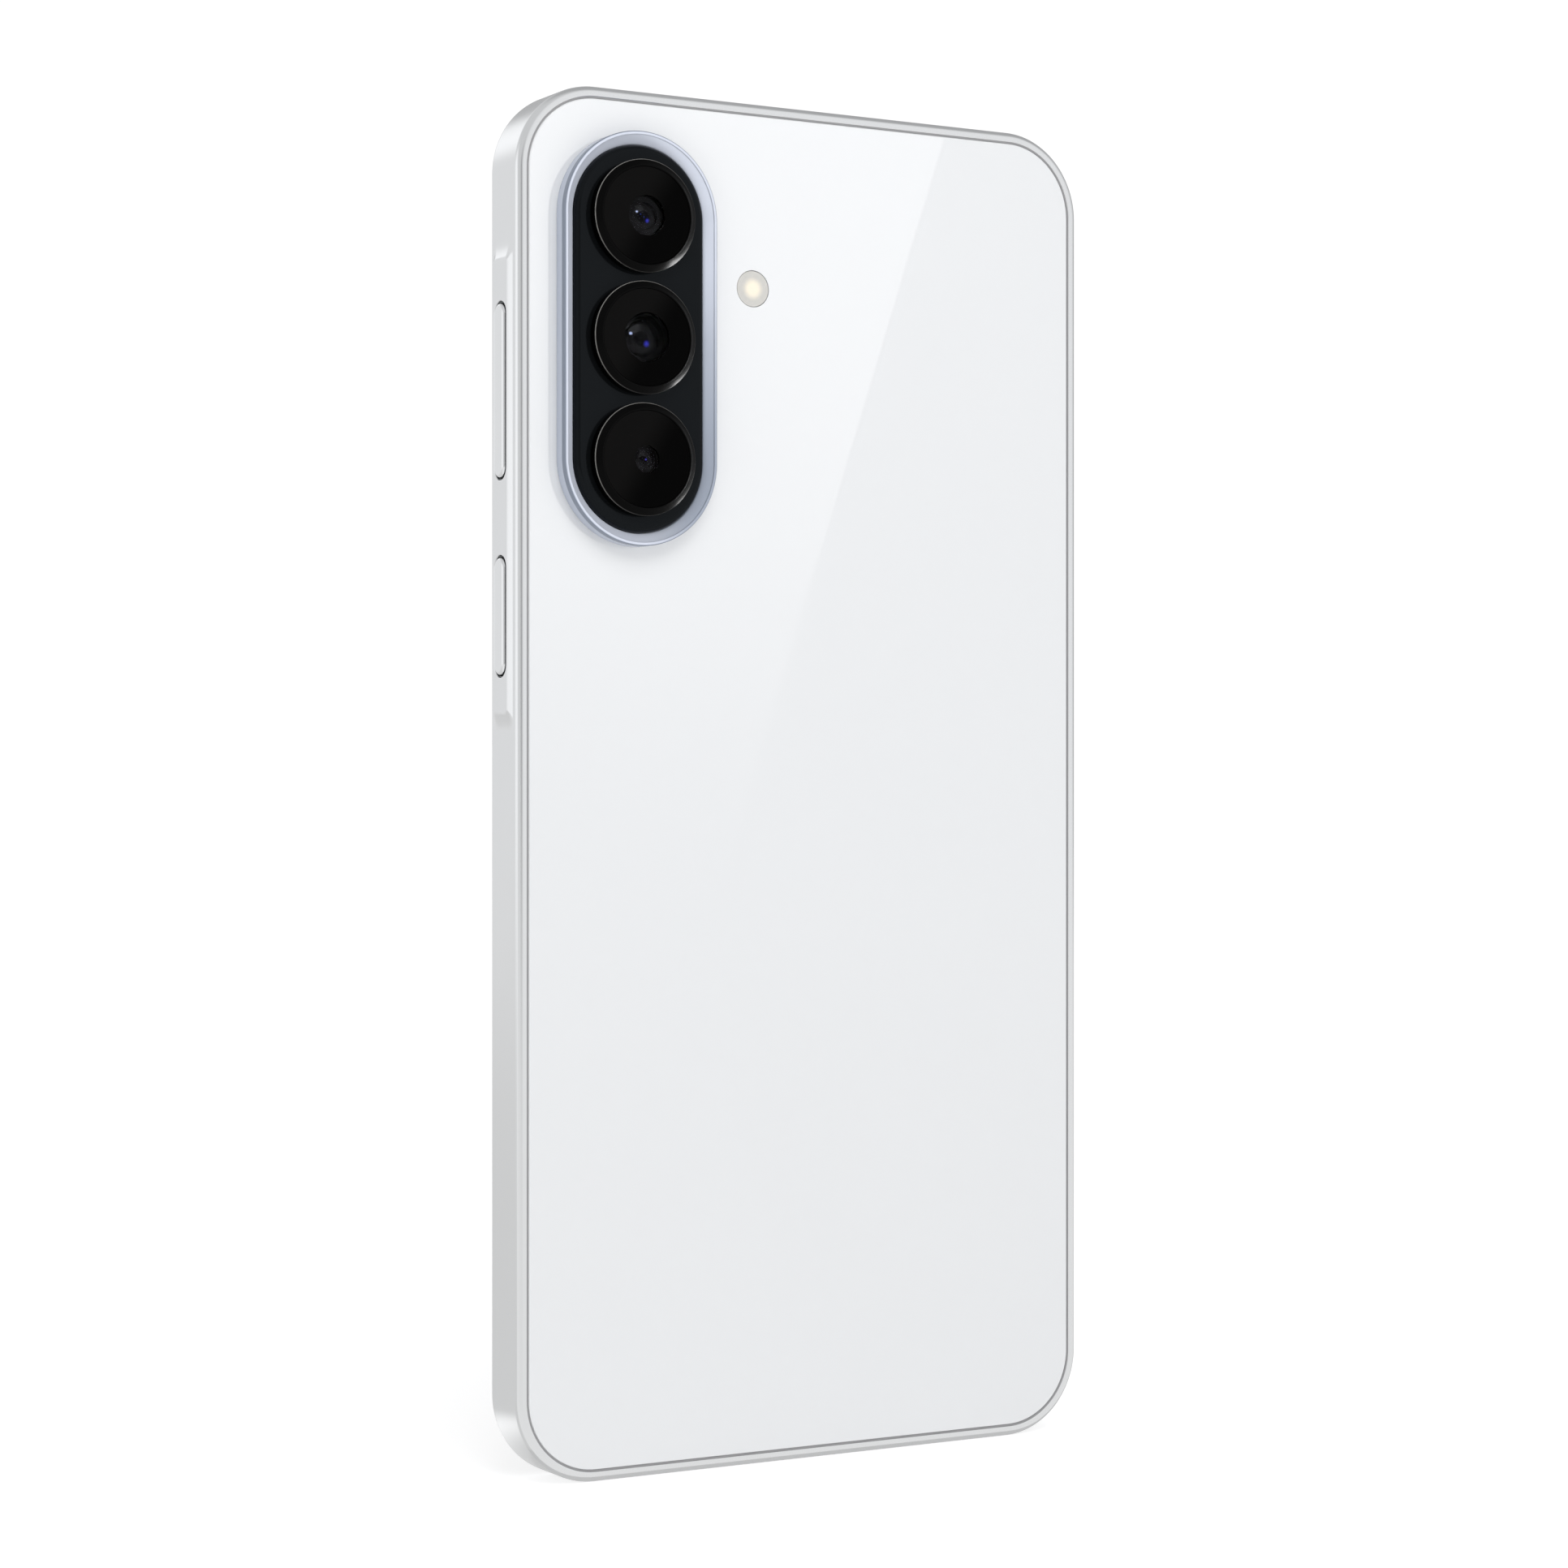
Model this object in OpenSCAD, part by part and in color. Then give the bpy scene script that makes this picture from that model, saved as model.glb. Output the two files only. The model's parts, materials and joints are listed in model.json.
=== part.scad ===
// Slab smartphone standing on its bottom edge.
// +Z runs up the phone, the screen faces -Y, the cameras face +Y and the keys sit on the +X side.
// The origin is the centre of the bottom edge, in the mouth of the charging port. Millimetres.

/* [Body] */
// Width of the body without the key pad
body_w = 78.2; // [77.8:0.1:79.0]
// Height of the body
body_h = 162.9; // [162.6:0.1:164.0]
// Thickness of the body without the camera bump
body_t = 7.4; // [7.4:0.1:8.0]
// Radius of the four corners
corner_r = 10.2; // [9.4:0.1:10.8]
// Rounding of the frame's outer edges
edge_r = 0.8; // [0.4:0.1:1.0]
// Frame lip between the side face and the panel pocket
lip_w = 1.25; // [1.0:0.05:1.4]

/* [Camera bump] */
// Radius of the bump's round ends
bump_r = 10.05; // [9.9:0.05:10.2]
// Distance between neighbouring lens centres
lens_pitch = 14.2; // [13.8:0.1:14.3]
// Height of the bezel's ridge above the back panel
bump_h = 2.3; // [2.2:0.1:2.5]
// Outer radius of a lens trim
trim_r = 6.62; // [6.4:0.01:6.8]

/* [Keys] */
// Height of the raised pad that holds the keys
pad_h = 0.45; // [0.4:0.05:0.5]
// Length of the volume key
volume_len = 20.2; // [19.0:0.1:20.6]
// Length of the power key
power_len = 13.6; // [12.0:0.1:14.2]
// Width of both keys
key_w = 2.5; // [2.3:0.1:2.6]

/* [Hidden] */
$fn = 48;

eps = 0.01;
half_w = body_w / 2;
mid_z = body_h / 2;
wall_t = 3.0;
panel_gap = 0.2;
panel_inset = lip_w + panel_gap;
panel_t = 0.65;
glue_t = 0.1;

// Levels through the thickness, from the screen to the back
y_front = -body_t / 2;
y_back = body_t / 2;
y_glass_in = y_front + panel_t;
y_front_ledge = y_glass_in + glue_t;
y_back_in = y_back - panel_t;
y_back_ledge = y_back_in - glue_t;
display_t = 0.8;
y_display_in = y_glass_in + display_t;
y_plate0 = y_display_in + 0.15;
plate_t = 0.5;
y_plate1 = y_plate0 + plate_t;
y_board0 = -0.7;
y_board1 = 0;
y_cover0 = 1.9;
y_cover1 = 2.7;

// Camera bump: levels and centres
cam_x = 24.05;
cam_z = 133.5;
lens_zs = [cam_z + lens_pitch, cam_z, cam_z - lens_pitch];
y_ridge = y_back + bump_h;
bevel_w = 1.15;
ridge_w = 0.3;
window_r = bump_r - bevel_w - ridge_w - 0.05;
neck_r = 8.85;
seat_r = 7.6;
y_seat = y_back + 0.45;
y_window0 = y_seat + 0.05;
y_window1 = y_back + bump_h - 0.35;
window_edge = 0.8;
trim_neck_r = 5.15;
trim_h = 1.25;
trim_cone_h = 0.35;
trim_lip_r = 5.85;
lens_glass_r = 5.7;
lens_glass_t = 0.5;
y_trim1 = y_window1 + trim_h + trim_cone_h;
light_r = 4.6;

// Rear camera modules
main_size = 10.4;
main_bore_r = 3.3;
main_lens_r = 3.2;
wide_size = 8.4;
macro_size = 6.4;
y_module0 = -1.5;
y_module1 = 3.5;

// Flash
flash_x = 7.9;
flash_z = 140.7;
flash_r = 2.2;

// Key pad and keys
pad_z0 = 89.6;
pad_z1 = 142.4;
pad_ramp = 2.4;
pad_half = 1.8;
pad_bevel = 1.2;
pad_x = half_w + pad_h;
key_proud = 0.25;
key_gap = 0.2;
volume_z = 127.1;
power_z = 100.9;
key_x1 = pad_x + key_proud;
flange_t = 0.45;
flange_rim = 0.55;
flange_x1 = half_w - 1.1;
pocket_x1 = half_w - 0.8;
pocket_rim = 0.75;
plunger_r = 0.6;
plunger_l = 0.95;
flex_back = 0.35;
flex_sheet = 0.2;
dome_h = 0.35;
inner_x = half_w - wall_t;

// SIM tray on the -X side
sim_z = 121.5;
sim_plate_l = 18.0;
sim_plate_w = 2.5;
sim_plate_t = 1.0;
sim_neck_l = 14.8;
sim_neck_w = 1.9;
sim_neck_end = 2.8;
sim_tray_l = 22.0;
sim_gap = 0.1;
sim_eject_z = 8.2;
sim_eject_r = 0.45;

// Charging port in the bottom edge
port_w = 8.94;
port_t = 3.16;
port_shell_t = 0.3;
port_depth = 7.3;
port_z0 = 0.3;

// Sound openings in the frame
slot_w = 1.1;
slot_l = 2.6;
slot_x0 = 12.5;
slot_pitch = 3.6;
slot_n = 5;
mic_r = 0.45;
bottom_mic_x = -12;
top_mic_x = -24;
ear_half = 5.4;

// Screws: centres on the back of the mid plate, as [x, z]
screw_r = 0.58;
screw_bore_r = 0.6;
screw_head_r = 1.2;
screw_head_t = 0.5;
boss_r = 1.3;
top_screws = [[-32, 152], [-14.5, 111], [10, 117], [10, 149]];
bottom_screws = [[-32.5, 19.5], [-16, 19.5], [5, 19.5]];
speaker_screws = [[11.5, 17.5], [32, 17.5]];
all_screws = concat(top_screws, bottom_screws, speaker_screws);

// Battery, flat cables and the front camera
battery_x0 = -33.4;
battery_x1 = 31.6;
battery_z0 = 24;
battery_z1 = 104;
y_battery0 = y_plate1 + 0.15;
y_battery1 = 2.4;
flex_t = 0.12;
front_cam_z = 156;
front_cam_r = 1.8;
finger_z = 40;
finger_half = 4.5;
motor_x = -26.5;
motor_z = 10.8;
motor_r = 5;
coax_x = -34.7;
coax_y = 0.75;
coax_z = 22.6;
coax_r = 0.4;

white = [0.93, 0.93, 0.94];
frame_grey = [0.86, 0.87, 0.88];
bezel_blue = [0.74, 0.77, 0.83];
gloss_black = [0.04, 0.045, 0.05];
dark_grey = [0.18, 0.18, 0.2];
steel = [0.72, 0.73, 0.75];
aluminium = [0.62, 0.64, 0.66];
board_green = [0.05, 0.28, 0.2];
copper = [0.72, 0.45, 0.25];
foil_black = [0.12, 0.12, 0.13];
amber = [0.75, 0.5, 0.12];

// ---------- Shared shapes ----------

// Flat shape drawn in (x, z), thickened from y0 to y1
module slab(y0, y1) {
    translate([0, y1, 0]) rotate([90, 0, 0]) linear_extrude(y1 - y0) children();
}

// Profile drawn in (radius, y), turned about a Y axis through (x, z)
module turned(x, z) {
    translate([x, 0, z]) rotate([-90, 0, 0]) rotate_extrude() children();
}

// Round rod along Y
module rod_y(x, z, y0, y1, r) {
    translate([x, y0, z]) rotate([-90, 0, 0]) cylinder(r = r, h = y1 - y0);
}

// Round rod along X
module rod_x(x0, x1, y, z, r) {
    translate([x0, y, z]) rotate([0, 90, 0]) cylinder(r = r, h = x1 - x0);
}

module block(x0, x1, y0, y1, z0, z1) {
    translate([x0, y0, z0]) cube([x1 - x0, y1 - y0, z1 - z0]);
}

module rounded_rect(w, h, r) {
    square([w - 2 * r, h], center = true);
    square([w, h - 2 * r], center = true);
    for (sx = [-1, 1], sy = [-1, 1])
        translate([sx * (w / 2 - r), sy * (h / 2 - r)]) circle(r = r);
}

// Body outline in (x, z), moved inwards
module outline(inset) {
    translate([0, mid_z])
        rounded_rect(body_w - 2 * inset, body_h - 2 * inset, corner_r - inset);
}

// Rectangle in (x, z) with rounded corners
module rect_xz(x0, x1, z0, z1, r = 0.6) {
    translate([(x0 + x1) / 2, (z0 + z1) / 2]) rounded_rect(x1 - x0, z1 - z0, r);
}

// Round-ended slot, total length l along its first axis and total width w
module stadium(l, w) {
    square([l - w, w], center = true);
    for (s = [-1, 1]) translate([s * (l - w) / 2, 0]) circle(r = w / 2);
}

// Pill of the camera bump in (x, z)
module pill(r) {
    translate([cam_x, cam_z]) rotate(90) stadium(2 * (lens_pitch + r), 2 * r);
}

// Sweeps a profile drawn in (outward, y) round the body outline
module swept_frame() {
    long_z = body_h - 2 * corner_r;
    long_x = body_w - 2 * corner_r;
    translate([0, 0, mid_z]) for (sx = [0, 1]) mirror([sx, 0, 0]) {
        translate([half_w, 0, -long_z / 2]) linear_extrude(long_z) children();
        for (sz = [0, 1]) mirror([0, 0, sz])
            translate([half_w - corner_r, 0, body_h / 2 - corner_r])
                rotate([-90, 0, 0]) rotate([0, 0, -90])
                    rotate_extrude(angle = 90) translate([corner_r, 0]) children();
    }
    translate([0, 0, mid_z]) for (sz = [0, 1]) mirror([0, 0, sz])
        translate([long_x / 2, 0, body_h / 2]) rotate([0, -90, 0])
            linear_extrude(long_x) children();
}

// Sweeps a profile drawn in (distance from the pill's centre line, y) round the camera pill
module swept_pill() {
    translate([cam_x, 0, cam_z]) for (sz = [0, 1]) mirror([0, 0, sz]) {
        translate([0, 0, lens_pitch]) rotate([-90, 0, 0]) rotate([0, 0, 180])
            rotate_extrude(angle = 180) children();
        for (sx = [0, 1]) mirror([sx, 0, 0]) linear_extrude(lens_pitch) children();
    }
}

// Slot in a side wall: drawn in (z, y), cut from x0 to x1
module side_slot(x0, x1, z, l, w) {
    translate([x0, 0, z]) rotate([0, 90, 0]) linear_extrude(x1 - x0) stadium(l, w);
}

// Slot in the bottom wall: drawn in (x, y), cut from z0 to z1
module bottom_slot(x, z0, z1, l, w) {
    translate([x, 0, z0]) linear_extrude(z1 - z0) stadium(l, w);
}

// Strip along X, folded along the points given in (z, y)
module folded_strip(x0, x1, points) {
    translate([x0, 0, 0]) multmatrix([[0, 0, 1, 0], [0, 1, 0, 0], [1, 0, 0, 0]])
        linear_extrude(x1 - x0) polygon(points);
}

// Inner cover with counterbored screw holes
module screwed_cover(places) {
    difference() {
        slab(y_cover0, y_cover1) children();
        for (p = places) {
            rod_y(p[0], p[1], y_cover0 - eps, y_cover1 + eps, screw_bore_r + 0.15);
            rod_y(p[0], p[1], y_cover1 - screw_head_t, y_cover1 + eps, screw_head_r + 0.1);
        }
    }
}

// ---------- Outer shell ----------

module frame_profile() {
    difference() {
        translate([-wall_t, y_front]) square([wall_t, body_t]);
        translate([-wall_t - eps, y_back_ledge])
            square([wall_t - lip_w + eps, y_back - y_back_ledge + eps]);
        translate([-wall_t - eps, y_front - eps])
            square([wall_t - lip_w + eps, y_front_ledge - y_front + eps]);
        for (s = [-1, 1]) difference() {
            translate([-edge_r / 2 + eps, s * (y_back - edge_r / 2 + eps)])
                square([edge_r, edge_r], center = true);
            translate([-edge_r, s * (y_back - edge_r)]) circle(r = edge_r);
        }
    }
}

// Raised pad round the keys: sloping sides and ends
module key_pad() {
    root = half_w - 0.5;
    intersection() {
        translate([0, 0, pad_z0 - pad_ramp]) linear_extrude(pad_z1 - pad_z0 + 2 * pad_ramp)
            polygon([[root, -pad_half - pad_bevel], [half_w, -pad_half - pad_bevel],
                [pad_x, -pad_half], [pad_x, pad_half], [half_w, pad_half + pad_bevel],
                [root, pad_half + pad_bevel]]);
        slab(-pad_half - pad_bevel, pad_half + pad_bevel)
            polygon([[root, pad_z0 - pad_ramp], [half_w, pad_z0 - pad_ramp], [pad_x, pad_z0],
                [pad_x, pad_z1], [half_w, pad_z1 + pad_ramp], [root, pad_z1 + pad_ramp]]);
    }
}

module key_opening(z, l) {
    side_slot(pocket_x1 - eps, pad_x + 1, z, l + 2 * key_gap, key_w + 2 * key_gap);
    side_slot(inner_x - 1, pocket_x1, z, l + 2 * pocket_rim, key_w + 2 * pocket_rim);
}

module sim_opening() {
    side_slot(-half_w - 1, -half_w + sim_plate_t + sim_gap, sim_z,
        sim_plate_l + 2 * sim_gap, sim_plate_w + 2 * sim_gap);
    block(-half_w, -inner_x + 1, -sim_neck_w / 2 - sim_gap, sim_neck_w / 2 + sim_gap,
        sim_z - sim_neck_l / 2 - sim_gap, sim_z + sim_neck_l / 2 + sim_gap);
    rod_x(-half_w, -inner_x + 1, 0, sim_z - sim_eject_z, sim_eject_r + 0.05);
}

module sound_openings() {
    for (i = [0 : slot_n - 1])
        bottom_slot(slot_x0 + i * slot_pitch, -1, wall_t + 1, slot_l, slot_w);
    translate([bottom_mic_x, 0, -1]) cylinder(r = mic_r, h = wall_t + 2);
    translate([top_mic_x, 0, body_h - wall_t - 1]) cylinder(r = mic_r, h = wall_t + 2);
    block(-ear_half - 4, ear_half, y_front_ledge - eps, 0.5,
        body_h - wall_t - 1, body_h - panel_inset);
}

module frame() {
    color(frame_grey) difference() {
        union() {
            swept_frame() frame_profile();
            key_pad();
        }
        key_opening(volume_z, volume_len);
        key_opening(power_z, power_len);
        sim_opening();
        bottom_slot(0, -1, wall_t + 1, port_w + 0.1, port_t + 0.1);
        sound_openings();
    }
}

module mid_plate() {
    color(aluminium) difference() {
        union() {
            slab(y_plate0, y_plate1) outline(wall_t);
            for (p = all_screws) rod_y(p[0], p[1], y_plate1 - eps, y_cover0, boss_r);
        }
        for (p = all_screws) rod_y(p[0], p[1], y_plate1, y_cover0 + 1, screw_bore_r);
        rod_y(0, front_cam_z, y_plate0 - 1, y_plate1 + 1, front_cam_r + 0.5);
        slab(y_plate0 - 1, y_plate1 + 1) rect_xz(-finger_half - 0.2, finger_half + 0.2,
            finger_z - finger_half - 0.2, finger_z + finger_half + 0.2);
        slab(y_plate0 - 1, y_plate1 + 1) rect_xz(-1, 9, 105.6, 107.9);
        block(-5.2, 5.2, y_plate0 - 1, y_plate1 + 1, wall_t - 1, wall_t + 0.9);
        slab(y_plate0 - 1, y_plate1 + 1) rect_xz(cam_x - 5.6, cam_x + 5.6, cam_z - 5.6, cam_z + 5.6);
    }
}

module cover_glass() {
    color(gloss_black) difference() {
        slab(y_front, y_glass_in) outline(panel_inset);
        slab(y_front - 1, y_glass_in + 1)
            rect_xz(-ear_half, ear_half, body_h - panel_inset - 0.7, body_h - lip_w + 0.5, 0.3);
    }
}

module display_panel() {
    color(foil_black) difference() {
        slab(y_glass_in, y_display_in) outline(wall_t + 0.3);
        rod_y(0, front_cam_z, y_glass_in - 1, y_display_in + 1, front_cam_r + 0.4);
    }
}

module display_adhesive() {
    color(dark_grey) difference() {
        slab(y_glass_in, y_front_ledge) outline(panel_inset + 0.15);
        slab(y_glass_in - 1, y_front_ledge + 1) outline(wall_t - 0.2);
        slab(y_glass_in - 1, y_front_ledge + 1)
            rect_xz(-ear_half - 4.5, ear_half + 0.5, body_h - 3.4, body_h);
    }
}

module back_panel() {
    color(white) difference() {
        slab(y_back_in, y_back) outline(panel_inset);
        slab(y_back_in - 1, y_back + 1) pill(neck_r + 0.05);
        rod_y(flash_x, flash_z, y_back_in - 1, y_back + 1, flash_r);
    }
}

module back_adhesive() {
    color(dark_grey) difference() {
        slab(y_back_ledge, y_back_in) outline(panel_inset + 0.15);
        slab(y_back_ledge - 1, y_back_in + 1) outline(wall_t - 0.2);
    }
}

// ---------- Rear cameras and flash ----------

module camera_bezel() {
    bevel_r = bump_r - ridge_w;
    y_bevel = y_ridge - bevel_w;
    color(bezel_blue) swept_pill()
        polygon([[seat_r, y_back_ledge], [neck_r, y_back_ledge], [neck_r, y_back],
            [bump_r, y_back], [bump_r, y_ridge - ridge_w], [bump_r - 0.09, y_ridge - 0.09],
            [bevel_r, y_ridge], [bevel_r - bevel_w, y_bevel], [bevel_r - bevel_w, y_seat],
            [seat_r, y_seat]]);
}

module camera_window() {
    color(gloss_black) difference() {
        union() {
            slab(y_window0, y_window1) pill(window_r - window_edge);
            swept_pill() translate([window_r - window_edge, y_window1 - window_edge])
                intersection() {
                    circle(r = window_edge);
                    square(window_edge);
                }
            slab(y_window0, y_window1 - window_edge) pill(window_r);
        }
        for (z = lens_zs) rod_y(cam_x, z, y_window0 - 1, y_window1 + 1, trim_neck_r + 0.02);
    }
}

module lens_trim(z) {
    y_seat_glass = y_trim1 - lens_glass_t - 0.02;
    color(gloss_black) turned(cam_x, z)
        polygon([[light_r, y_window0], [trim_neck_r, y_window0], [trim_neck_r, y_window1],
            [trim_r, y_window1], [trim_r, y_trim1 - trim_cone_h - 0.1],
            [trim_r - 0.1, y_trim1 - trim_cone_h], [trim_lip_r, y_trim1],
            [lens_glass_r + 0.03, y_trim1], [lens_glass_r + 0.03, y_seat_glass],
            [light_r, y_seat_glass]]);
}

module lens_glass(z) {
    color([0.1, 0.1, 0.12]) rod_y(cam_x, z, y_trim1 - lens_glass_t, y_trim1 - 0.02, lens_glass_r);
}

module trim_upper() { lens_trim(lens_zs[0]); }
module trim_middle() { lens_trim(lens_zs[1]); }
module trim_lower() { lens_trim(lens_zs[2]); }
module lens_glass_upper() { lens_glass(lens_zs[0]); }
module lens_glass_middle() { lens_glass(lens_zs[1]); }
module lens_glass_lower() { lens_glass(lens_zs[2]); }

// Square camera body with a lens barrel on top
module camera_module(z, size, barrel_r, y_top) {
    slab(y_module0, y_module1)
        rect_xz(cam_x - size / 2, cam_x + size / 2, z - size / 2, z + size / 2, 0.5);
    rod_y(cam_x, z, y_module1 - eps, y_top, barrel_r);
}

// Body of the focusing camera: the lens slides in its bore
module main_camera() {
    color(dark_grey) difference() {
        slab(y_module0, y_module1) rect_xz(cam_x - main_size / 2, cam_x + main_size / 2,
            lens_zs[1] - main_size / 2, lens_zs[1] + main_size / 2, 0.5);
        rod_y(cam_x, lens_zs[1], 0, y_module1 + 1, main_bore_r);
    }
}

module main_camera_lens() {
    y_top = 5.4;
    color(gloss_black) difference() {
        rod_y(cam_x, lens_zs[1], 0.3, y_top, main_lens_r);
        turned(cam_x, lens_zs[1]) polygon([[0, y_top - 0.8], [1.4, y_top - 0.8],
            [2.5, y_top + eps], [0, y_top + eps]]);
    }
}

module ultrawide_camera() {
    color(dark_grey) camera_module(lens_zs[0], wide_size, 3.0, 5.8);
}

module macro_camera() {
    color(dark_grey) camera_module(lens_zs[2], macro_size, 2.0, 5.4);
}

module module_holes(y0, y1, gap) {
    sizes = [wide_size, main_size, macro_size];
    for (i = [0 : 2]) slab(y0, y1)
        rect_xz(cam_x - sizes[i] / 2 - gap, cam_x + sizes[i] / 2 + gap,
            lens_zs[i] - sizes[i] / 2 - gap, lens_zs[i] + sizes[i] / 2 + gap);
}

module camera_bracket() {
    color(steel) difference() {
        slab(y_cover0, y_cover0 + 0.3) rect_xz(14.2, 34.4, 112.5, 155.5, 3);
        module_holes(y_cover0 - 1, y_cover0 + 1, 0.1);
    }
}

module camera_foam() {
    color(foil_black) difference() {
        slab(y_cover0 + 0.3, y_back_ledge) pill(7.4);
        module_holes(y_cover0, y_back, 0.1);
    }
}

module flash_lens() {
    color([0.93, 0.9, 0.8]) rod_y(flash_x, flash_z, y_back_in, y_back - 0.03, flash_r - 0.04);
}

module flash_led() {
    color([0.9, 0.75, 0.2])
        block(flash_x - 0.9, flash_x + 0.9, 2.2, 2.9, flash_z - 0.9, flash_z + 0.9);
}

module flash_holder() {
    color(dark_grey) rod_y(flash_x, flash_z, y_board1, 2.2, 2.1);
}

// ---------- Keys ----------

// Key cap with a retaining flange and its plungers, z measured from the key's centre
module side_key(z, l, plungers) {
    side_slot(flange_x1 - eps, key_x1, z, l, key_w);
    side_slot(flange_x1 - flange_t, flange_x1, z, l + 2 * flange_rim, key_w + 2 * flange_rim);
    for (p = plungers)
        rod_x(flange_x1 - flange_t - plunger_l, flange_x1 - flange_t + eps, 0, z + p, plunger_r);
}

module power_key() { color(white) side_key(power_z, power_len, [0]); }
module volume_key() { color(white) side_key(volume_z, volume_len, [-6.5, 6.5]); }

module key_domes() {
    color(steel) for (z = [power_z, volume_z - 6.5, volume_z + 6.5])
        translate([inner_x - flex_back + flex_sheet, 0, z]) rotate([0, 90, 0])
            cylinder(r1 = 1.2, r2 = 0.7, h = dome_h);
}

module key_flex() {
    color(amber) {
        block(inner_x - flex_back, inner_x - flex_back + flex_sheet, -1.2, 1.2, 92.5, 138.5);
        slab(0.4, 0.52) {
            rect_xz(10.9, inner_x - flex_back + 0.05, 104.8, 106.4, 0.3);
            rect_xz(8.4, 11.4, 104.8, 113.6, 0.3);
        }
        block(8.6, 11.2, y_board1, 0.4, 112.9, 113.5);
    }
}

module key_bracket() {
    color(steel) difference() {
        block(inner_x - flex_back - 0.45, inner_x - flex_back, y_plate1, 1.6, 91.5, 140);
        block(inner_x - 1, inner_x + 1, 0.2, 0.7, 104.3, 107);
    }
}

// ---------- SIM tray ----------

module sim_tray() {
    neck_x0 = -half_w + sim_plate_t;
    tray_x0 = -half_w + sim_neck_end;
    tray_x1 = -half_w + sim_tray_l;
    color(frame_grey) difference() {
        union() {
            side_slot(-half_w, neck_x0, sim_z, sim_plate_l, sim_plate_w);
            block(neck_x0 - eps, tray_x0, -0.55, 0.55, sim_z - 7.0, sim_z + 7.0);
            block(neck_x0 - eps, tray_x1, 0.25, 0.95, sim_z - 7.0, sim_z + 7.0);
        }
        block(tray_x0 + 2, tray_x1 - 1.6, 0, 2, sim_z - 4.5, sim_z + 4.5);
        rod_x(-half_w - 1, neck_x0 + 1, 0, sim_z - sim_eject_z, sim_eject_r);
    }
}

module sim_tray_seal() {
    x0 = -half_w + 1.4;
    color([0.85, 0.35, 0.3]) difference() {
        block(x0, x0 + 0.8, -sim_neck_w / 2, sim_neck_w / 2 + 0.05,
            sim_z - sim_neck_l / 2, sim_z + sim_neck_l / 2);
        block(x0 - 1, x0 + 2, -0.55, 0.95, sim_z - 7.0, sim_z + 7.0);
    }
}

module sim_reader() {
    x0 = -inner_x + 0.7;
    x1 = -half_w + sim_tray_l + 1.2;
    color(steel) difference() {
        block(x0, x1, y_board1, 1.35, sim_z - 7.9, sim_z + 7.9);
        block(x0 - 1, x1 - 0.3, 0.15, 1.15, sim_z - 7.5, sim_z + 7.5);
        block(x0 + 5, x1 - 5, 1, 2, sim_z - 4, sim_z + 4);
    }
}

// ---------- Bottom end ----------

module port_shell() {
    color(steel) difference() {
        bottom_slot(0, port_z0, port_z0 + port_depth, port_w, port_t);
        bottom_slot(0, port_z0 - 1, port_z0 + port_depth - port_shell_t,
            port_w - 2 * port_shell_t, port_t - 2 * port_shell_t);
    }
}

module port_tongue() {
    z1 = port_z0 + port_depth - port_shell_t;
    color(foil_black) {
        bottom_slot(0, z1 - 1.2, z1, port_w - 2 * port_shell_t, port_t - 2 * port_shell_t);
        block(-3.33, 3.33, -0.35, 0.35, 1.2, z1 - 1);
    }
}

module port_seal() {
    color(foil_black) difference() {
        bottom_slot(0, wall_t, wall_t + 0.7, port_w + 0.9, port_t + 0.9);
        bottom_slot(0, wall_t - 1, wall_t + 2, port_w, port_t);
    }
}

module sub_board() {
    color(board_green) difference() {
        slab(y_board0, y_board1) rect_xz(-19.6, 7.4, 3.9, 21.8, 0.8);
        bottom_slot(0, 0, port_z0 + port_depth + 0.1, port_w + 1.6, 10);
        for (p = bottom_screws) rod_y(p[0], p[1], y_board0 - 1, y_board1 + 1, boss_r + 0.15);
    }
}

module speaker_box() {
    color(foil_black) difference() {
        slab(-1.4, y_cover1) intersection() {
            rect_xz(8.3, 35.6, 3.4, 21.8, 1);
            outline(wall_t + 0.3);
        }
        bottom_slot(slot_x0 + 2 * slot_pitch, 2, 6, 18, 1.8);
        for (p = speaker_screws) {
            rod_y(p[0], p[1], -2, y_cover0, boss_r + 0.1);
            rod_y(p[0], p[1], 0, y_cover1 + 1, screw_bore_r + 0.15);
            rod_y(p[0], p[1], y_cover1 - screw_head_t, y_cover1 + 1, screw_head_r + 0.1);
        }
    }
}

module speaker_mesh() {
    color(dark_grey) bottom_slot(slot_x0 + 2 * slot_pitch, wall_t, wall_t + 0.2, 18.2, 1.9);
}

module vibration_case() {
    color(steel) difference() {
        rod_y(motor_x, motor_z, -1.5, 1.7, motor_r);
        rod_y(motor_x, motor_z, -1.3, 1.5, motor_r - 0.25);
    }
}

module vibration_mass() {
    color(dark_grey) rod_y(motor_x, motor_z, -0.7, 0.9, motor_r - 0.7);
}

module bottom_cover() {
    color(foil_black) screwed_cover(bottom_screws) intersection() {
        rect_xz(-35.6, 7.8, 3.9, 21.8, 1);
        outline(wall_t + 0.3);
    }
}

// ---------- Top end ----------

module earpiece() {
    color(foil_black) {
        slab(-1.4, 1.2) rect_xz(-17.5, -4.6, 151.8, 158.9, 1);
        slab(-1.4, 0.3) rect_xz(-11.5, -4.8, 158.4, 159.7, 0.4);
    }
}

module earpiece_mesh() {
    color(dark_grey) slab(y_front + 0.3, y_glass_in)
        rect_xz(-ear_half + 0.1, ear_half - 0.1, body_h - panel_inset - 0.6, body_h - lip_w - 0.05, 0.2);
}

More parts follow.
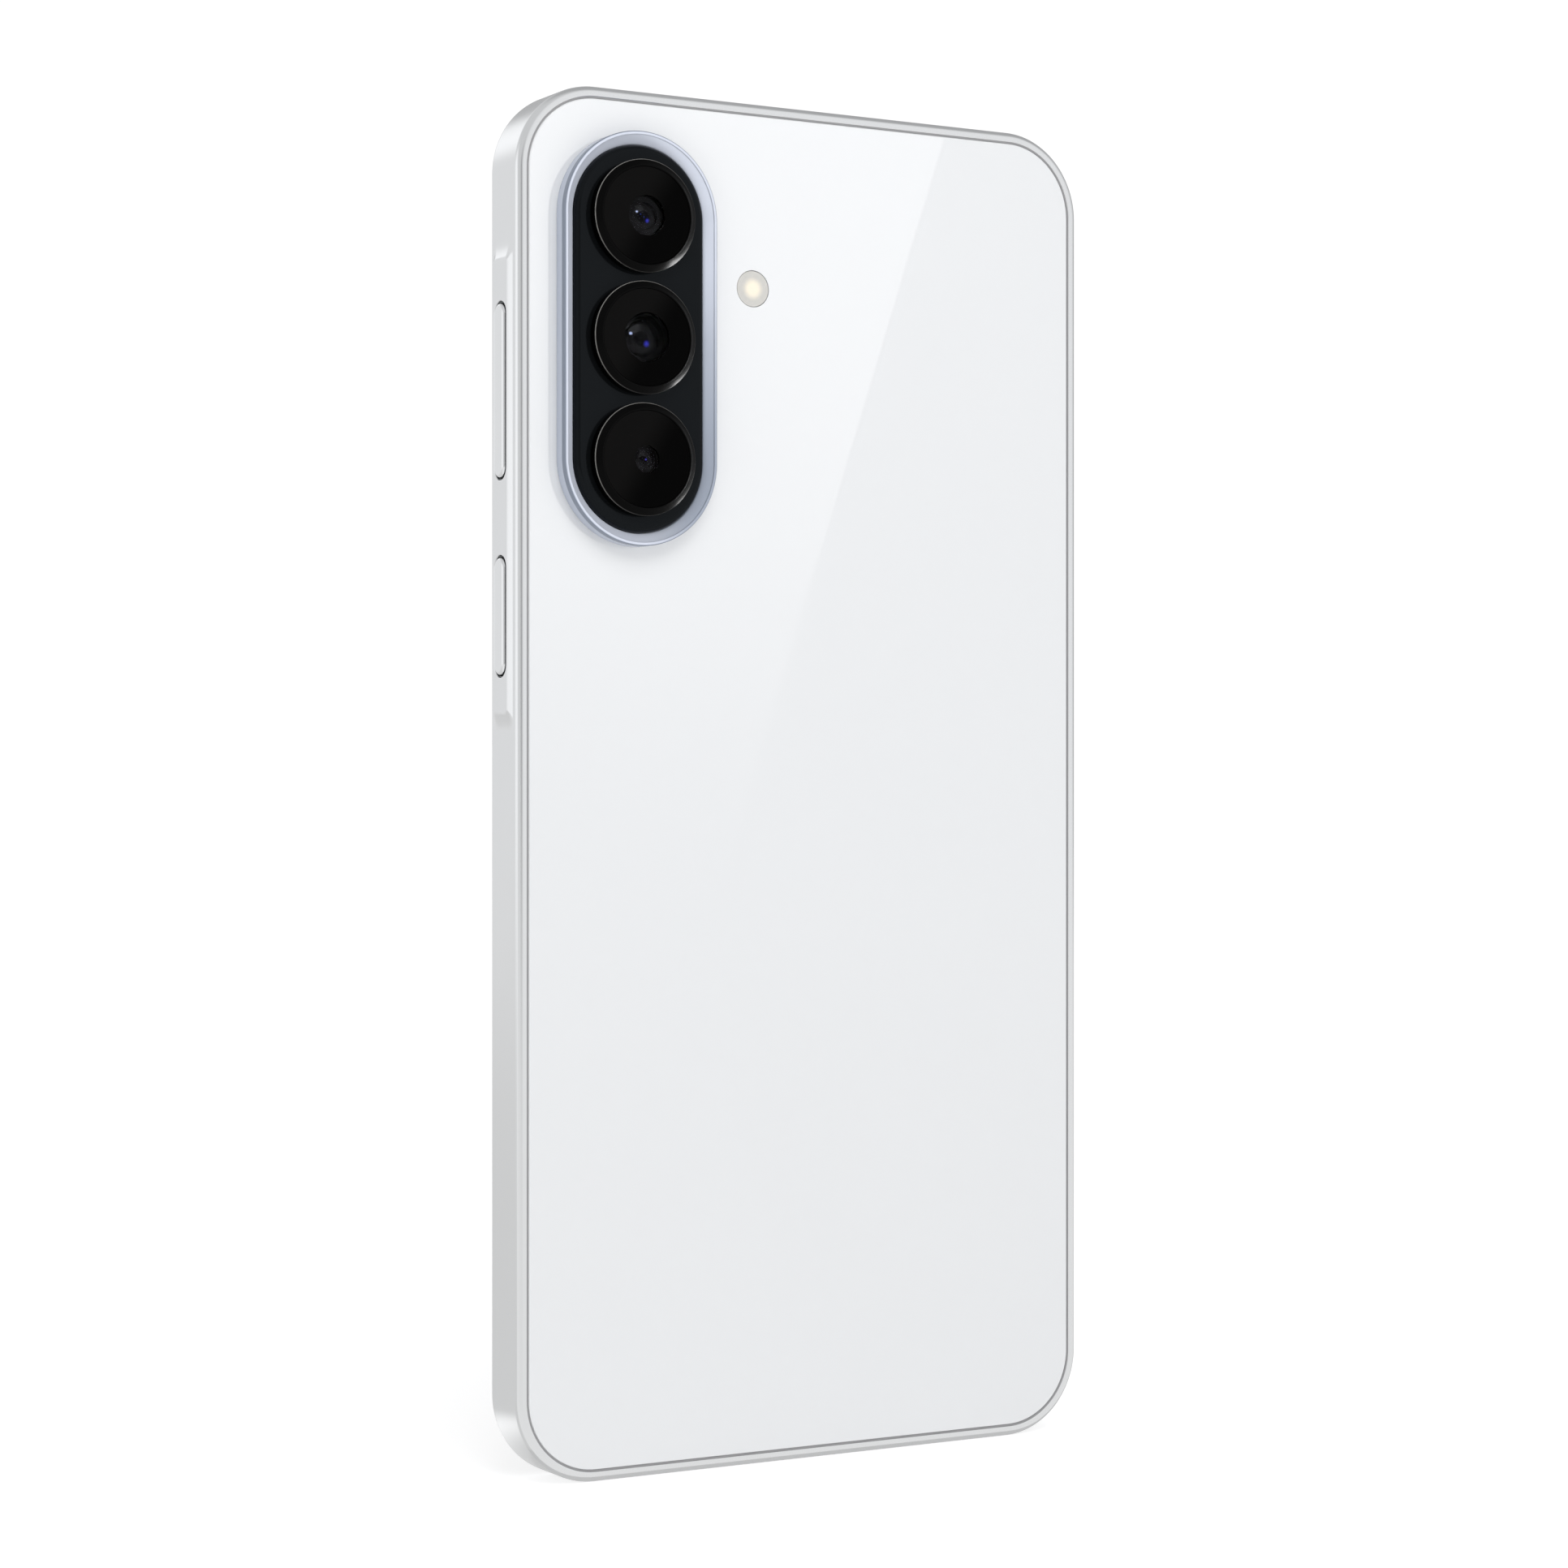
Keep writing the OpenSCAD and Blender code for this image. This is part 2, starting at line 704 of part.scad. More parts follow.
module front_camera() {
    color(gloss_black) {
        rod_y(0, front_cam_z, y_glass_in, -1, front_cam_r);
        slab(-1.01, 1.6) rect_xz(-3.1, 3.1, front_cam_z - 3.1, front_cam_z + 3.1, 0.5);
    }
}

module main_board() {
    color(board_green) difference() {
        slab(y_board0, y_board1) intersection() {
            rect_xz(-35.4, 13, 108.6, 158.4, 1.5);
            outline(wall_t + 0.6);
        }
        slab(y_board0 - 1, y_board1 + 1) rect_xz(-18, 3.6, 151.3, 162, 0.8);
        for (p = top_screws) rod_y(p[0], p[1], y_board0 - 1, y_board1 + 1, boss_r + 0.15);
    }
}

// Five-sided sheet-metal can over part of the board
module shield_can(y_rim, y_top, x0, x1, z0, z1, sheet = 0.15) {
    lo = min(y_rim, y_top);
    hi = max(y_rim, y_top);
    toward_rim = y_rim < y_top ? -1 : 1;
    difference() {
        slab(lo, hi) rect_xz(x0, x1, z0, z1);
        translate([0, toward_rim * sheet, 0])
            slab(lo, hi) rect_xz(x0 + sheet, x1 - sheet, z0 + sheet, z1 - sheet, 0.5);
    }
}

module front_shield() { color(steel) shield_can(y_board0, -1.45, -33, 8, 113.5, 147); }
module rear_shield() { color(steel) shield_can(y_board1, 1.4, -29, 4, 132, 149); }

module processor() {
    color(foil_black) slab(y_board0 - 0.5, y_board0) rect_xz(-22, -9, 119, 132, 0.3);
}

module board_connectors() {
    color(foil_black) {
        block(-8.6, -3.4, y_board1, 0.9, 109.4, 111.4);
        block(-8.6, -3.4, y_board1, 0.9, 17.4, 19.4);
        block(0.4, 7.6, y_board1, 0.9, 109.4, 111.4);
        block(-25, -19, y_board1, 0.9, 109.4, 111.4);
    }
}

// ---------- Battery and cables ----------

module battery() {
    color(foil_black) slab(y_battery0, y_battery1)
        rect_xz(battery_x0, battery_x1, battery_z0, battery_z1, 1.5);
}

module battery_tape() {
    color(white) for (x = [-22, 8]) slab(y_plate1, y_battery0) rect_xz(x, x + 12, 28, 100, 0.5);
}

module battery_lead() {
    color(amber) block(-25, -19, 0.9, 0.9 + flex_t, battery_z1, 111.6);
}

module main_flex() {
    y_low = 0.9;
    y_high = y_battery1 + 0.05;
    z_low = battery_z0 - 1.2;
    z_high = battery_z1 + 0.9;
    color(amber) folded_strip(-8.6, -3.4, [
        [17.2, y_low], [z_low + flex_t, y_low], [z_low + flex_t, y_high], [z_high, y_high],
        [z_high, y_low], [111.6, y_low], [111.6, y_low + flex_t],
        [z_high + flex_t, y_low + flex_t], [z_high + flex_t, y_high + flex_t],
        [z_low, y_high + flex_t], [z_low, y_low + flex_t], [17.2, y_low + flex_t]]);
}

module display_flex() {
    y_low = y_display_in;
    y_high = 0.9;
    z_fold = 106.6;
    color(amber) folded_strip(0.4, 7.6, [
        [101, y_low], [z_fold + flex_t, y_low], [z_fold + flex_t, y_high], [111.6, y_high],
        [111.6, y_high + flex_t], [z_fold, y_high + flex_t], [z_fold, y_low + flex_t],
        [101, y_low + flex_t]]);
}

module coax_cable() {
    plug_r = 1;
    top_z = 110.4;
    end_x = -18.1;
    end_z = 21.2;
    color(dark_grey) {
        translate([coax_x, coax_y, coax_z]) cylinder(r = coax_r, h = top_z - 0.2 - coax_z);
        rod_y(coax_x + 0.5, top_z, y_board1, 1.2, plug_r);
        rod_x(coax_x, end_x, coax_y, coax_z, coax_r);
        rod_y(end_x, end_z, y_board1, 1.2, plug_r);
        translate([end_x, coax_y, end_z]) cylinder(r = coax_r, h = coax_z - end_z);
    }
}

module fingerprint_sensor() {
    color(dark_grey) slab(y_display_in, y_plate1) rect_xz(-finger_half, finger_half,
        finger_z - finger_half, finger_z + finger_half, 0.4);
}

// ---------- Covers, coil, microphones, fasteners ----------

module top_cover() {
    color(foil_black) difference() {
        screwed_cover(top_screws) intersection() {
            rect_xz(-35.4, 13.2, 106, 159.4, 1);
            outline(wall_t + 0.4);
        }
        rod_y(flash_x, flash_z, y_cover0 - 1, y_cover1 + 1, 2.4);
    }
}

module nfc_coil() {
    color(copper) slab(y_cover1, y_cover1 + 0.12) difference() {
        rect_xz(-30, 4, 114, 147, 3);
        rect_xz(-27, 1, 117, 144, 2);
    }
}

module microphones() {
    color(copper) {
        block(bottom_mic_x - 1.8, bottom_mic_x + 1.8, y_board1, 1.1, 4.2, 7);
        block(top_mic_x - 1.8, top_mic_x + 1.8, y_board1, 1.1, 155.4, 158.2);
    }
}

module screws() {
    color(steel) for (p = all_screws) difference() {
        union() {
            rod_y(p[0], p[1], y_cover1 - screw_head_t, y_cover1 - 0.02, screw_head_r);
            rod_y(p[0], p[1], y_plate1 + 0.4, y_cover1 - screw_head_t + eps, screw_r);
        }
        rod_y(p[0], p[1], y_cover1 - 0.25, y_cover1 + 1, 0.4, $fn = 6);
    }
}

frame();
mid_plate();
cover_glass();
display_panel();
display_adhesive();
back_panel();
back_adhesive();
camera_bezel();
camera_window();
trim_upper();
trim_middle();
trim_lower();
lens_glass_upper();
lens_glass_middle();
lens_glass_lower();
main_camera();
main_camera_lens();
ultrawide_camera();
macro_camera();
camera_bracket();
camera_foam();
flash_lens();
flash_led();
flash_holder();
power_key();
volume_key();
key_domes();
key_flex();
key_bracket();
sim_tray();
sim_tray_seal();
sim_reader();
port_shell();
port_tongue();
port_seal();
sub_board();
speaker_box();
speaker_mesh();
earpiece();
earpiece_mesh();
front_camera();
battery();
battery_tape();
battery_lead();
main_board();
front_shield();
rear_shield();
processor();
board_connectors();
main_flex();
display_flex();
coax_cable();
fingerprint_sensor();
vibration_case();
vibration_mass();
top_cover();
bottom_cover();
nfc_coil();
microphones();
screws();
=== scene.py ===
"""Looks of a slab smartphone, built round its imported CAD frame.

The phone stands on its bottom edge: +Z up, screen towards -Y, cameras towards +Y, keys on the +X side.
Shapes are drawn in millimetres and written to the meshes in metres.
"""

import json
import math
from collections import namedtuple

import bmesh
import bpy
from mathutils import Matrix, Vector


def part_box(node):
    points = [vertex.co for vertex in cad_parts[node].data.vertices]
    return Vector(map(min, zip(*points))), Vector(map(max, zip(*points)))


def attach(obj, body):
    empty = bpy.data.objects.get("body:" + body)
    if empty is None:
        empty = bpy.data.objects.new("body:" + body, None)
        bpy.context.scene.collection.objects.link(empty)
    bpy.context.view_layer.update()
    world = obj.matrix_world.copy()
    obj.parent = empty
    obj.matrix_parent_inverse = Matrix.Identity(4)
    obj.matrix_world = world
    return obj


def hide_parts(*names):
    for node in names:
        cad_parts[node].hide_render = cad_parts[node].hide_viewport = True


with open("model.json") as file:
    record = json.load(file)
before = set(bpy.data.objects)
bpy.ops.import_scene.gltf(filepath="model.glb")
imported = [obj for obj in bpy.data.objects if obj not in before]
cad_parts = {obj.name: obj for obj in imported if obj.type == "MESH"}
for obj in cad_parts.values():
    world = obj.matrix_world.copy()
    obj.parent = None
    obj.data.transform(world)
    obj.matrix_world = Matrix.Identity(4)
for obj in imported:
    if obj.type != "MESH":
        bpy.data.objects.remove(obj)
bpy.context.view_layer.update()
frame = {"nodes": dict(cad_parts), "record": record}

MM = 0.001


# ---------- Places, from the frame ----------

def box_mm(node):
    """Lowest and highest corner of a CAD node, in millimetres."""
    low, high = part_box(node)
    return low / MM, high / MM


FRAME_LOW, FRAME_HIGH = box_mm("frame")
HALF_W = -FRAME_LOW.x
BODY_H = FRAME_HIGH.z
MID_Z = BODY_H / 2
Y_BACK = FRAME_HIGH.y
PAD_X = FRAME_HIGH.x
CORNER_R = 10.2
EDGE_R = 0.8
LIP_W = 1.25
WALL_T = 3.0
STEP_DEPTH = 0.45

BACK_LOW, BACK_HIGH = box_mm("back_panel")
PANEL_INSET = HALF_W - BACK_HIGH.x
Y_BACK_IN = BACK_LOW.y
Y_LEDGE = Y_BACK_IN - 0.1
GLASS_LOW, GLASS_HIGH = box_mm("cover_glass")

BEZEL_LOW, BEZEL_HIGH = box_mm("camera_bezel")
WINDOW_LOW, WINDOW_HIGH = box_mm("camera_window")
BUMP_R = (BEZEL_HIGH.x - BEZEL_LOW.x) / 2
CAM_X = (BEZEL_HIGH.x + BEZEL_LOW.x) / 2
CAM_Z = (BEZEL_HIGH.z + BEZEL_LOW.z) / 2
LENS_PITCH = (BEZEL_HIGH.z - BEZEL_LOW.z) / 2 - BUMP_R
Y_RIDGE = BEZEL_HIGH.y
WINDOW_R = (WINDOW_HIGH.x - WINDOW_LOW.x) / 2
NECK_R = 8.85
SEAT_R = 7.6
Y_SEAT = WINDOW_LOW.y - 0.05
TRIM_NECK_R = 5.15
LIGHT_R = 4.6
TRIM_LOW, TRIM_HIGH = box_mm("trim_upper")
TRIM_R = (TRIM_HIGH.x - TRIM_LOW.x) / 2
Y_SHOULDER = TRIM_HIGH.y - 0.35

# Colours of the glints and reflections painted as glow inside the lenses
VIOLET = (0.03, 0.03, 0.42)
BLUE = (0.02, 0.05, 0.3)
SPARK = (0.55, 0.65, 1.0)

# clear_r is the clear middle of the cover and depth the dome's top below its face.
# Each painted glint is its x and z from the middle of the lens, its radius and its colour. pupil_r is the
# radius of the pupil, painted dark as shade.
Lens = namedtuple("Lens", "name z body clear_r ball_r pupil_r depth flares")
LENSES = [
    Lens("upper", CAM_Z + LENS_PITCH, "phone_body", clear_r=2.35, ball_r=2.8, pupil_r=0.8, depth=0.16,
         flares=[(-0.1, -0.6, 0.34, VIOLET), (0.75, 0.1, 0.1, BLUE), (0.35, -0.2, 0.1, BLUE),
                 (1.15, 0.4, 0.18, SPARK)]),
    Lens("middle", CAM_Z, "main_lens", clear_r=2.9, ball_r=4.0, pupil_r=1.0, depth=0.62,
         flares=[(-0.25, -0.7, 0.5, VIOLET), (1.65, 0.45, 0.26, SPARK)]),
    Lens("lower", CAM_Z - LENS_PITCH, "phone_body", clear_r=1.6, ball_r=1.8, pupil_r=0.55, depth=0.16,
         flares=[(0.1, -0.05, 0.16, VIOLET)]),
]

FLASH_LOW, FLASH_HIGH = box_mm("flash_lens")
FLASH_X = (FLASH_LOW.x + FLASH_HIGH.x) / 2
FLASH_Z = (FLASH_LOW.z + FLASH_HIGH.z) / 2
FLASH_R = (FLASH_HIGH.x - FLASH_LOW.x) / 2

KEY_W = 2.5
KEY_GAP = 0.3
FLANGE_RIM = 0.55
POCKET_RIM = 0.75
POCKET_DEPTH = 0.8
PAD_Z0 = 89.6
PAD_Z1 = 142.4
PAD_RAMP = 2.4
PAD_HALF = 1.8

SIM_LOW, SIM_HIGH = box_mm("sim_tray")
SIM_Z = (SIM_LOW.z + SIM_HIGH.z) / 2
SIM_L = 18.0
SIM_W = 2.5
SIM_NECK_L = 15.0
SIM_NECK_W = 2.1
SIM_PLATE_T = 1.0

PORT_W = 8.94
PORT_T = 3.16
PORT_GAP = 0.05
SLOT_W = 1.1
SLOT_L = 2.6
SLOT_XS = [12.5 + 3.6 * i for i in range(5)]
MIC_R = 0.45
BOTTOM_MIC_X = -12
TOP_MIC_X = -24

FRONT_CAM_Z = 156
FRONT_CAM_R = 1.8
EAR_HALF = 5.2
EAR_SLIT_HALF = 0.22
EAR_Z = BODY_H - PANEL_INSET - 0.6

MOTOR_X = -26.5
MOTOR_Z = 10.8

CORNER_STEPS = 28
END_STEPS = 48
EDGE_STEPS = 8
FILLET_STEPS = 4
CIRCLE_STEPS = 96
STADIUM_STEPS = 16
MIC_STEPS = 32


# ---------- Outlines ----------

def arc(center, radius, start, end, steps):
    """Points on an arc from start to end degrees, both ends included."""
    points = []
    for i in range(steps + 1):
        angle = math.radians(start + (end - start) * i / steps)
        points.append((center[0] + radius * math.cos(angle), center[1] + radius * math.sin(angle)))
    return points


def rounded_loop(half_u, half_v, radius, center=(0, 0), steps=CORNER_STEPS):
    """Closed anticlockwise loop of a rectangle with round corners."""
    points = []
    for k, (su, sv) in enumerate([(1, 1), (-1, 1), (-1, -1), (1, -1)]):
        corner = (center[0] + su * (half_u - radius), center[1] + sv * (half_v - radius))
        points += arc(corner, radius, 90 * k, 90 * k + 90, steps)
    return without_repeats(points)


def without_repeats(points):
    """The same closed loop with no point on top of the one before it."""
    kept = []
    for i, point in enumerate(points):
        if math.dist(point, points[i - 1]) > 1e-6:
            kept.append(point)
    return kept


def circle_loop(radius, center=(0, 0), steps=CIRCLE_STEPS):
    return arc(center, radius, 0, 360 * (steps - 1) / steps, steps - 1)


def body_loop(inset):
    return rounded_loop(HALF_W - inset, MID_Z - inset, CORNER_R - inset, (0, MID_Z))


def pill_loop(radius):
    return rounded_loop(radius, LENS_PITCH + radius, radius, (CAM_X, CAM_Z), END_STEPS)


def stadium_loop(half_u, half_v, center=(0, 0)):
    return rounded_loop(half_u, half_v, min(half_u, half_v), center, STADIUM_STEPS)


# ---------- Solids ----------

class Solid:
    """A mesh drawn as rings of points. place turns a flat point (u, v) and a level into a point."""

    def __init__(self, place):
        self.mesh = bmesh.new()
        self.place = place

    def ring(self, loop, level):
        return [self.mesh.verts.new(self.place(u, v, level)) for u, v in loop]

    def wall(self, low, high, skip=()):
        """Quads between two rings of the same length, apart from those that start at a skipped point."""
        count = len(low)
        for i in range(count):
            j = (i + 1) % count
            if i not in skip:
                self.mesh.faces.new((low[i], low[j], high[j], high[i]))

    def stack(self, sections):
        """Walls through (loop, level) sections. Gives the first and the last ring."""
        rings = [self.ring(loop, level) for loop, level in sections]
        for low, high in zip(rings, rings[1:]):
            self.wall(low, high)
        return rings[0], rings[-1]

    def lid(self, *rings):
        """Flat face inside the first ring, with the other rings as holes in it."""
        edges = []
        for ring in rings:
            for a, b in zip(ring, ring[1:] + ring[:1]):
                edges.append(self.mesh.edges.get((a, b)) or self.mesh.edges.new((a, b)))
        bmesh.ops.triangle_fill(self.mesh, use_beauty=True, edges=edges)

    def point(self, ring, tip):
        """Fan from a ring to one point."""
        top = self.mesh.verts.new(self.place(*tip))
        for a, b in zip(ring, ring[1:] + ring[:1]):
            self.mesh.faces.new((a, b, top))

    def finish(self, name, slot, replaced=(), look=None, body="phone_body", smooth_angle=32):
        """Writes the mesh in its slot's finish or its own look, to ride on its body in place of CAD nodes."""
        bmesh.ops.recalc_face_normals(self.mesh, faces=self.mesh.faces)
        bmesh.ops.scale(self.mesh, vec=(MM, MM, MM), verts=self.mesh.verts)
        data = bpy.data.meshes.new(name)
        self.mesh.to_mesh(data)
        self.mesh.free()
        data.shade_smooth()
        data.set_sharp_from_angle(angle=math.radians(smooth_angle))
        data.materials.append((look or FINISHES[slot]).material)
        piece = bpy.data.objects.new(name, data)
        bpy.context.scene.collection.objects.link(piece)
        evened = piece.modifiers.new("even_shading", "WEIGHTED_NORMAL")
        evened.keep_sharp = True
        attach(piece, body)
        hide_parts(*replaced)
        return piece


def along_y(u, v, level):
    return (u, level, v)


def facing_front(u, v, level):
    return (u, -level, v)


def along_x(u, v, level):
    return (level, u, v)


def along_z(u, v, level):
    return (u, v, level)


def hoop(sections):
    """Ring along Y, closed from its last section to its first."""
    solid = Solid(along_y)
    first, last = solid.stack(sections)
    solid.wall(last, first)
    return solid


def plug(sections):
    """Solid along Y with a lid at each end."""
    solid = Solid(along_y)
    for ring in solid.stack(sections):
        solid.lid(ring)
    return solid


def turned_sections(profile, center):
    """Sections of a shape turned about a Y axis, from its (radius, y) profile."""
    return [(circle_loop(radius, center), y) for radius, y in profile]


# ---------- Nodes and materials ----------

def feed(tree, node, inputs):
    """Links each input of a node to a socket, or sets it to a value."""
    for key, value in inputs.items():
        if isinstance(value, bpy.types.NodeSocket):
            tree.links.new(value, node.inputs[key])
        else:
            node.inputs[key].default_value = value


def add_node(tree, kind, inputs, **settings):
    made = tree.nodes.new(kind)
    for key, value in settings.items():
        setattr(made, key, value)
    feed(tree, made, inputs)
    return made


def ramp(tree, value, low, high, to_low=0.0, to_high=1.0, kind="SMOOTHSTEP"):
    """Value that goes from to_low to to_high as the given one goes from low to high."""
    inputs = {"Value": value, "From Min": low, "From Max": high, "To Min": to_low, "To Max": to_high}
    return add_node(tree, "ShaderNodeMapRange", inputs, interpolation_type=kind).outputs[0]


def principled(name, sockets):
    """New material, with values set on the sockets of its shader."""
    material = bpy.data.materials.new(name)
    material.use_nodes = True
    tree = material.node_tree
    feed(tree, tree.nodes["Principled BSDF"], sockets)
    return material


class Finish:
    """A Principled material with short calls for its procedural detail."""

    def __init__(self, name, color, metallic=0.0, roughness=0.5):
        self.name = name
        self.color = tuple(color[:3])
        base = (*self.color, 1)
        self.material = principled(name, {"Base Color": base, "Metallic": metallic, "Roughness": roughness})
        self.tree = self.material.node_tree
        self.shader = self.tree.nodes["Principled BSDF"]

    def node(self, kind, inputs, **settings):
        return add_node(self.tree, kind, inputs, **settings)

    def set(self, **inputs):
        """Links or sets sockets of the shader, named with _ for each space."""
        feed(self.tree, self.shader, {key.replace("_", " "): value for key, value in inputs.items()})
        return self

    def place(self, stretch=(1, 1, 1)):
        """Object coordinates in millimetres, each axis multiplied by its stretch."""
        source = self.node("ShaderNodeTexCoord", {}).outputs["Object"]
        factors = tuple(s / MM for s in stretch)
        return self.node("ShaderNodeVectorMath", {0: source, 1: factors}, operation="MULTIPLY").outputs[0]

    def axes(self):
        """The x, y and z of a point, in millimetres."""
        return self.node("ShaderNodeSeparateXYZ", {0: self.place()}).outputs

    def math(self, operation, a, b=0.0):
        return self.node("ShaderNodeMath", {0: a, 1: b}, operation=operation).outputs[0]

    def noise(self, scale, detail=3.0, stretch=(1, 1, 1)):
        """Noise from 0 to 1, with about scale features to a millimetre."""
        inputs = {"Vector": self.place(stretch), "Scale": scale, "Detail": detail}
        return self.node("ShaderNodeTexNoise", inputs).outputs[0]

    def cells(self, scale, feature="F1"):
        """Distance to the nearest of scattered points, or to the border between two cells."""
        inputs = {"Vector": self.place(), "Scale": scale}
        return self.node("ShaderNodeTexVoronoi", inputs, feature=feature).outputs["Distance"]

    def stripes(self, value, per_mm):
        """Smooth stripes from 0 to 1 across a value in millimetres."""
        turned = self.math("SINE", self.math("MULTIPLY", value, 2 * math.pi * per_mm))
        return self.remap(turned, -1, 1)

    def remap(self, value, low, high, to_low=0, to_high=1, smooth=False):
        return ramp(self.tree, value, low, high, to_low, to_high, "SMOOTHSTEP" if smooth else "LINEAR")

    def steps_from(self, x, z):
        """How far a point is from (x, z), sideways and upwards."""
        axes = self.axes()
        return self.math("SUBTRACT", axes[0], x), self.math("SUBTRACT", axes[2], z)

    def offsets(self, x, z):
        """The same without their signs."""
        return [self.math("ABSOLUTE", step) for step in self.steps_from(x, z)]

    def radius_from(self, x, z, half_length=0.0):
        """Distance from the Y axis through (x, z), or from an upright line of that half length."""
        across, along = self.offsets(x, z)
        if half_length:
            along = self.math("MAXIMUM", self.math("SUBTRACT", along, half_length), 0.0)
        squares = self.math("ADD", self.math("POWER", across, 2.0), self.math("POWER", along, 2.0))
        return self.math("SQRT", squares)

    def mix(self, fac, color_a, color_b):
        """Colour between two, each a socket or plain numbers."""
        inputs = {0: fac}
        for index, color in ((6, color_a), (7, color_b)):
            inputs[index] = color if isinstance(color, bpy.types.NodeSocket) else (*color[:3], 1)
        return self.node("ShaderNodeMix", inputs, data_type="RGBA").outputs[2]

    def paint(self, color):
        return self.set(Base_Color=color)

    def mottle(self, fac, amount):
        """Colour that runs a little darker and lighter than the base colour."""
        darker = tuple(c * (1 - amount) for c in self.color)
        lighter = tuple(min(1, c * (1 + amount)) for c in self.color)
        return self.paint(self.mix(fac, darker, lighter))

    def polish(self, fac, low, high):
        """Roughness that runs from low to high."""
        return self.set(Roughness=self.remap(fac, 0, 1, low, high))

    def relief(self, height, depth, strength):
        """Bump of a height from 0 to 1 that stands for depth millimetres."""
        inputs = {"Height": height, "Strength": strength, "Distance": depth * MM}
        return self.set(Normal=self.node("ShaderNodeBump", inputs).outputs[0])

    def glow(self, color, strength):
        """Light the surface gives off itself."""
        return self.set(Emission_Color=color, Emission_Strength=strength)


SLOT_COLORS = {entry["slot"]: entry["base_color"] for entry in frame["record"]["materials"]}


def slot_finish(slot, **settings):
    """Finish in the colour that the record gives its slot."""
    return Finish(slot, SLOT_COLORS[slot], **settings)


def grained(made, mottle, relief, polish=None):
    """Detail from three noises.

    mottle is its scale and amount, polish its scale, detail, and lowest and highest roughness,
    and relief its scale, detail, depth and strength.
    """
    scale, amount = mottle
    made.mottle(made.noise(scale), amount)
    if polish:
        scale, detail, low, high = polish
        made.polish(made.noise(scale, detail), low, high)
    scale, detail, depth, strength = relief
    return made.relief(made.noise(scale, detail), depth, strength)


# ---------- Outside finishes ----------

def back_gloss():
    """White lacquer under clear glass, with faint wiping marks in the gloss."""
    made = Finish("back_gloss", (0.715, 0.725, 0.737))
    made.set(Coat_Weight=1.0, Coat_Roughness=0.012, Coat_IOR=2.0, Specular_IOR_Level=0.2)
    made.mottle(made.noise(0.05, 2), 0.004)
    return made.polish(made.noise(0.08, 3), 0.28, 0.33)


def bezel_satin():
    """Blue-grey anodised metal with a darker outer wall. Painted shade makes it darker towards the bottom and
    the far side and in a band under the ridge, and painted light makes the inner bevel glow a little.
    """
    made = Finish("bezel_satin", (0.76, 0.8, 0.9), metallic=0.4)
    reach = made.radius_from(CAM_X, CAM_Z, LENS_PITCH)
    axes = made.axes()
    on_wall = made.remap(reach, BUMP_R - 0.16, BUMP_R - 0.06)
    bevel_glow_mask = made.remap(reach, BUMP_R - 0.5, BUMP_R - 0.4, 1, 0)
    under_ridge = made.remap(axes[1], Y_RIDGE - 0.95, Y_RIDGE - 0.75, smooth=True)
    # Painted shade: the lower and far (-X) parts take the darker shaded colour.
    low = made.remap(axes[2], CAM_Z - LENS_PITCH, CAM_Z + LENS_PITCH, 1, 0, smooth=True)
    far = made.remap(axes[0], CAM_X - 0.8 * BUMP_R, CAM_X, 1, 0, smooth=True)
    cloudy = made.mix(made.noise(0.8), (0.67, 0.71, 0.81), (0.69, 0.73, 0.83))
    shaded = made.mix(made.math("MULTIPLY", low, far), cloudy, (0.36, 0.4, 0.48))
    wall = made.mix(on_wall, shaded, (0.52, 0.56, 0.65))
    # Painted shadow: a dark band on the outer wall under the ridge.
    shadow_band = made.math("MULTIPLY", on_wall, under_ridge)
    made.paint(made.mix(shadow_band, wall, (0.22, 0.25, 0.31)))
    # Painted light: the inner bevel glows a little in the bezel's colour.
    made.glow(made.mix(bevel_glow_mask, (0, 0, 0), shaded), 0.12)
    return made.polish(made.noise(1.5, 3), 0.24, 0.28)


def window_gloss():
    """Black printing under clear glass with a faint cold sheen."""
    made = Finish("window_gloss", (0.0035, 0.004, 0.0045))
    made.set(Specular_IOR_Level=0.12, Specular_Tint=(0.8, 0.9, 1.0, 1))
    made.mottle(made.noise(0.4), 0.08)
    return made.polish(made.noise(0.8, 4), 0.07, 0.12)


def trim_dark(name="trim_dark", z=None):
    """Black vapour-coated ring with turning lines. On the trim of the lens at z, a painted highlight runs
    round its shoulder.
    """
    made = Finish(name, (0.0004, 0.0004, 0.0004)).set(Specular_IOR_Level=0.06)
    if z is None:
        made.mottle(made.noise(0.9), 0.15)
    else:
        # The trim at z gets a painted highlight round its shoulder.
        made.paint(shoulder_highlight(made, z))
    made.polish(made.noise(1.5, 4), 0.17, 0.24)
    return made.relief(made.stripes(made.axes()[1], 9), 0.001, 0.3)


def shoulder_highlight(made, z):
    """Colour of a trim: a fine painted highlight round its shoulder, brightest towards the upper key side and
    broken up by noise.
    """
    at_edge = made.remap(made.radius_from(CAM_X, z), TRIM_R - 0.09, TRIM_R - 0.05)
    at_top = made.remap(made.axes()[1], Y_SHOULDER - 0.16, Y_SHOULDER - 0.12)
    toward = made.math("ADD", *made.steps_from(CAM_X, z))
    highlight_falloff = made.remap(toward, -TRIM_R, 1.3 * TRIM_R, 0.12, 1.0, smooth=True)
    patchy = made.remap(made.noise(1.8, 3), 0.25, 0.6, 0.7, 1.0)
    edge = made.math("MULTIPLY", at_edge, at_top)
    highlight_line = made.math("MULTIPLY", edge, made.math("MULTIPLY", highlight_falloff, patchy))
    # Painted highlight: the line round the shoulder is light grey.
    return made.mix(highlight_line, made.color, (0.19, 0.185, 0.175))


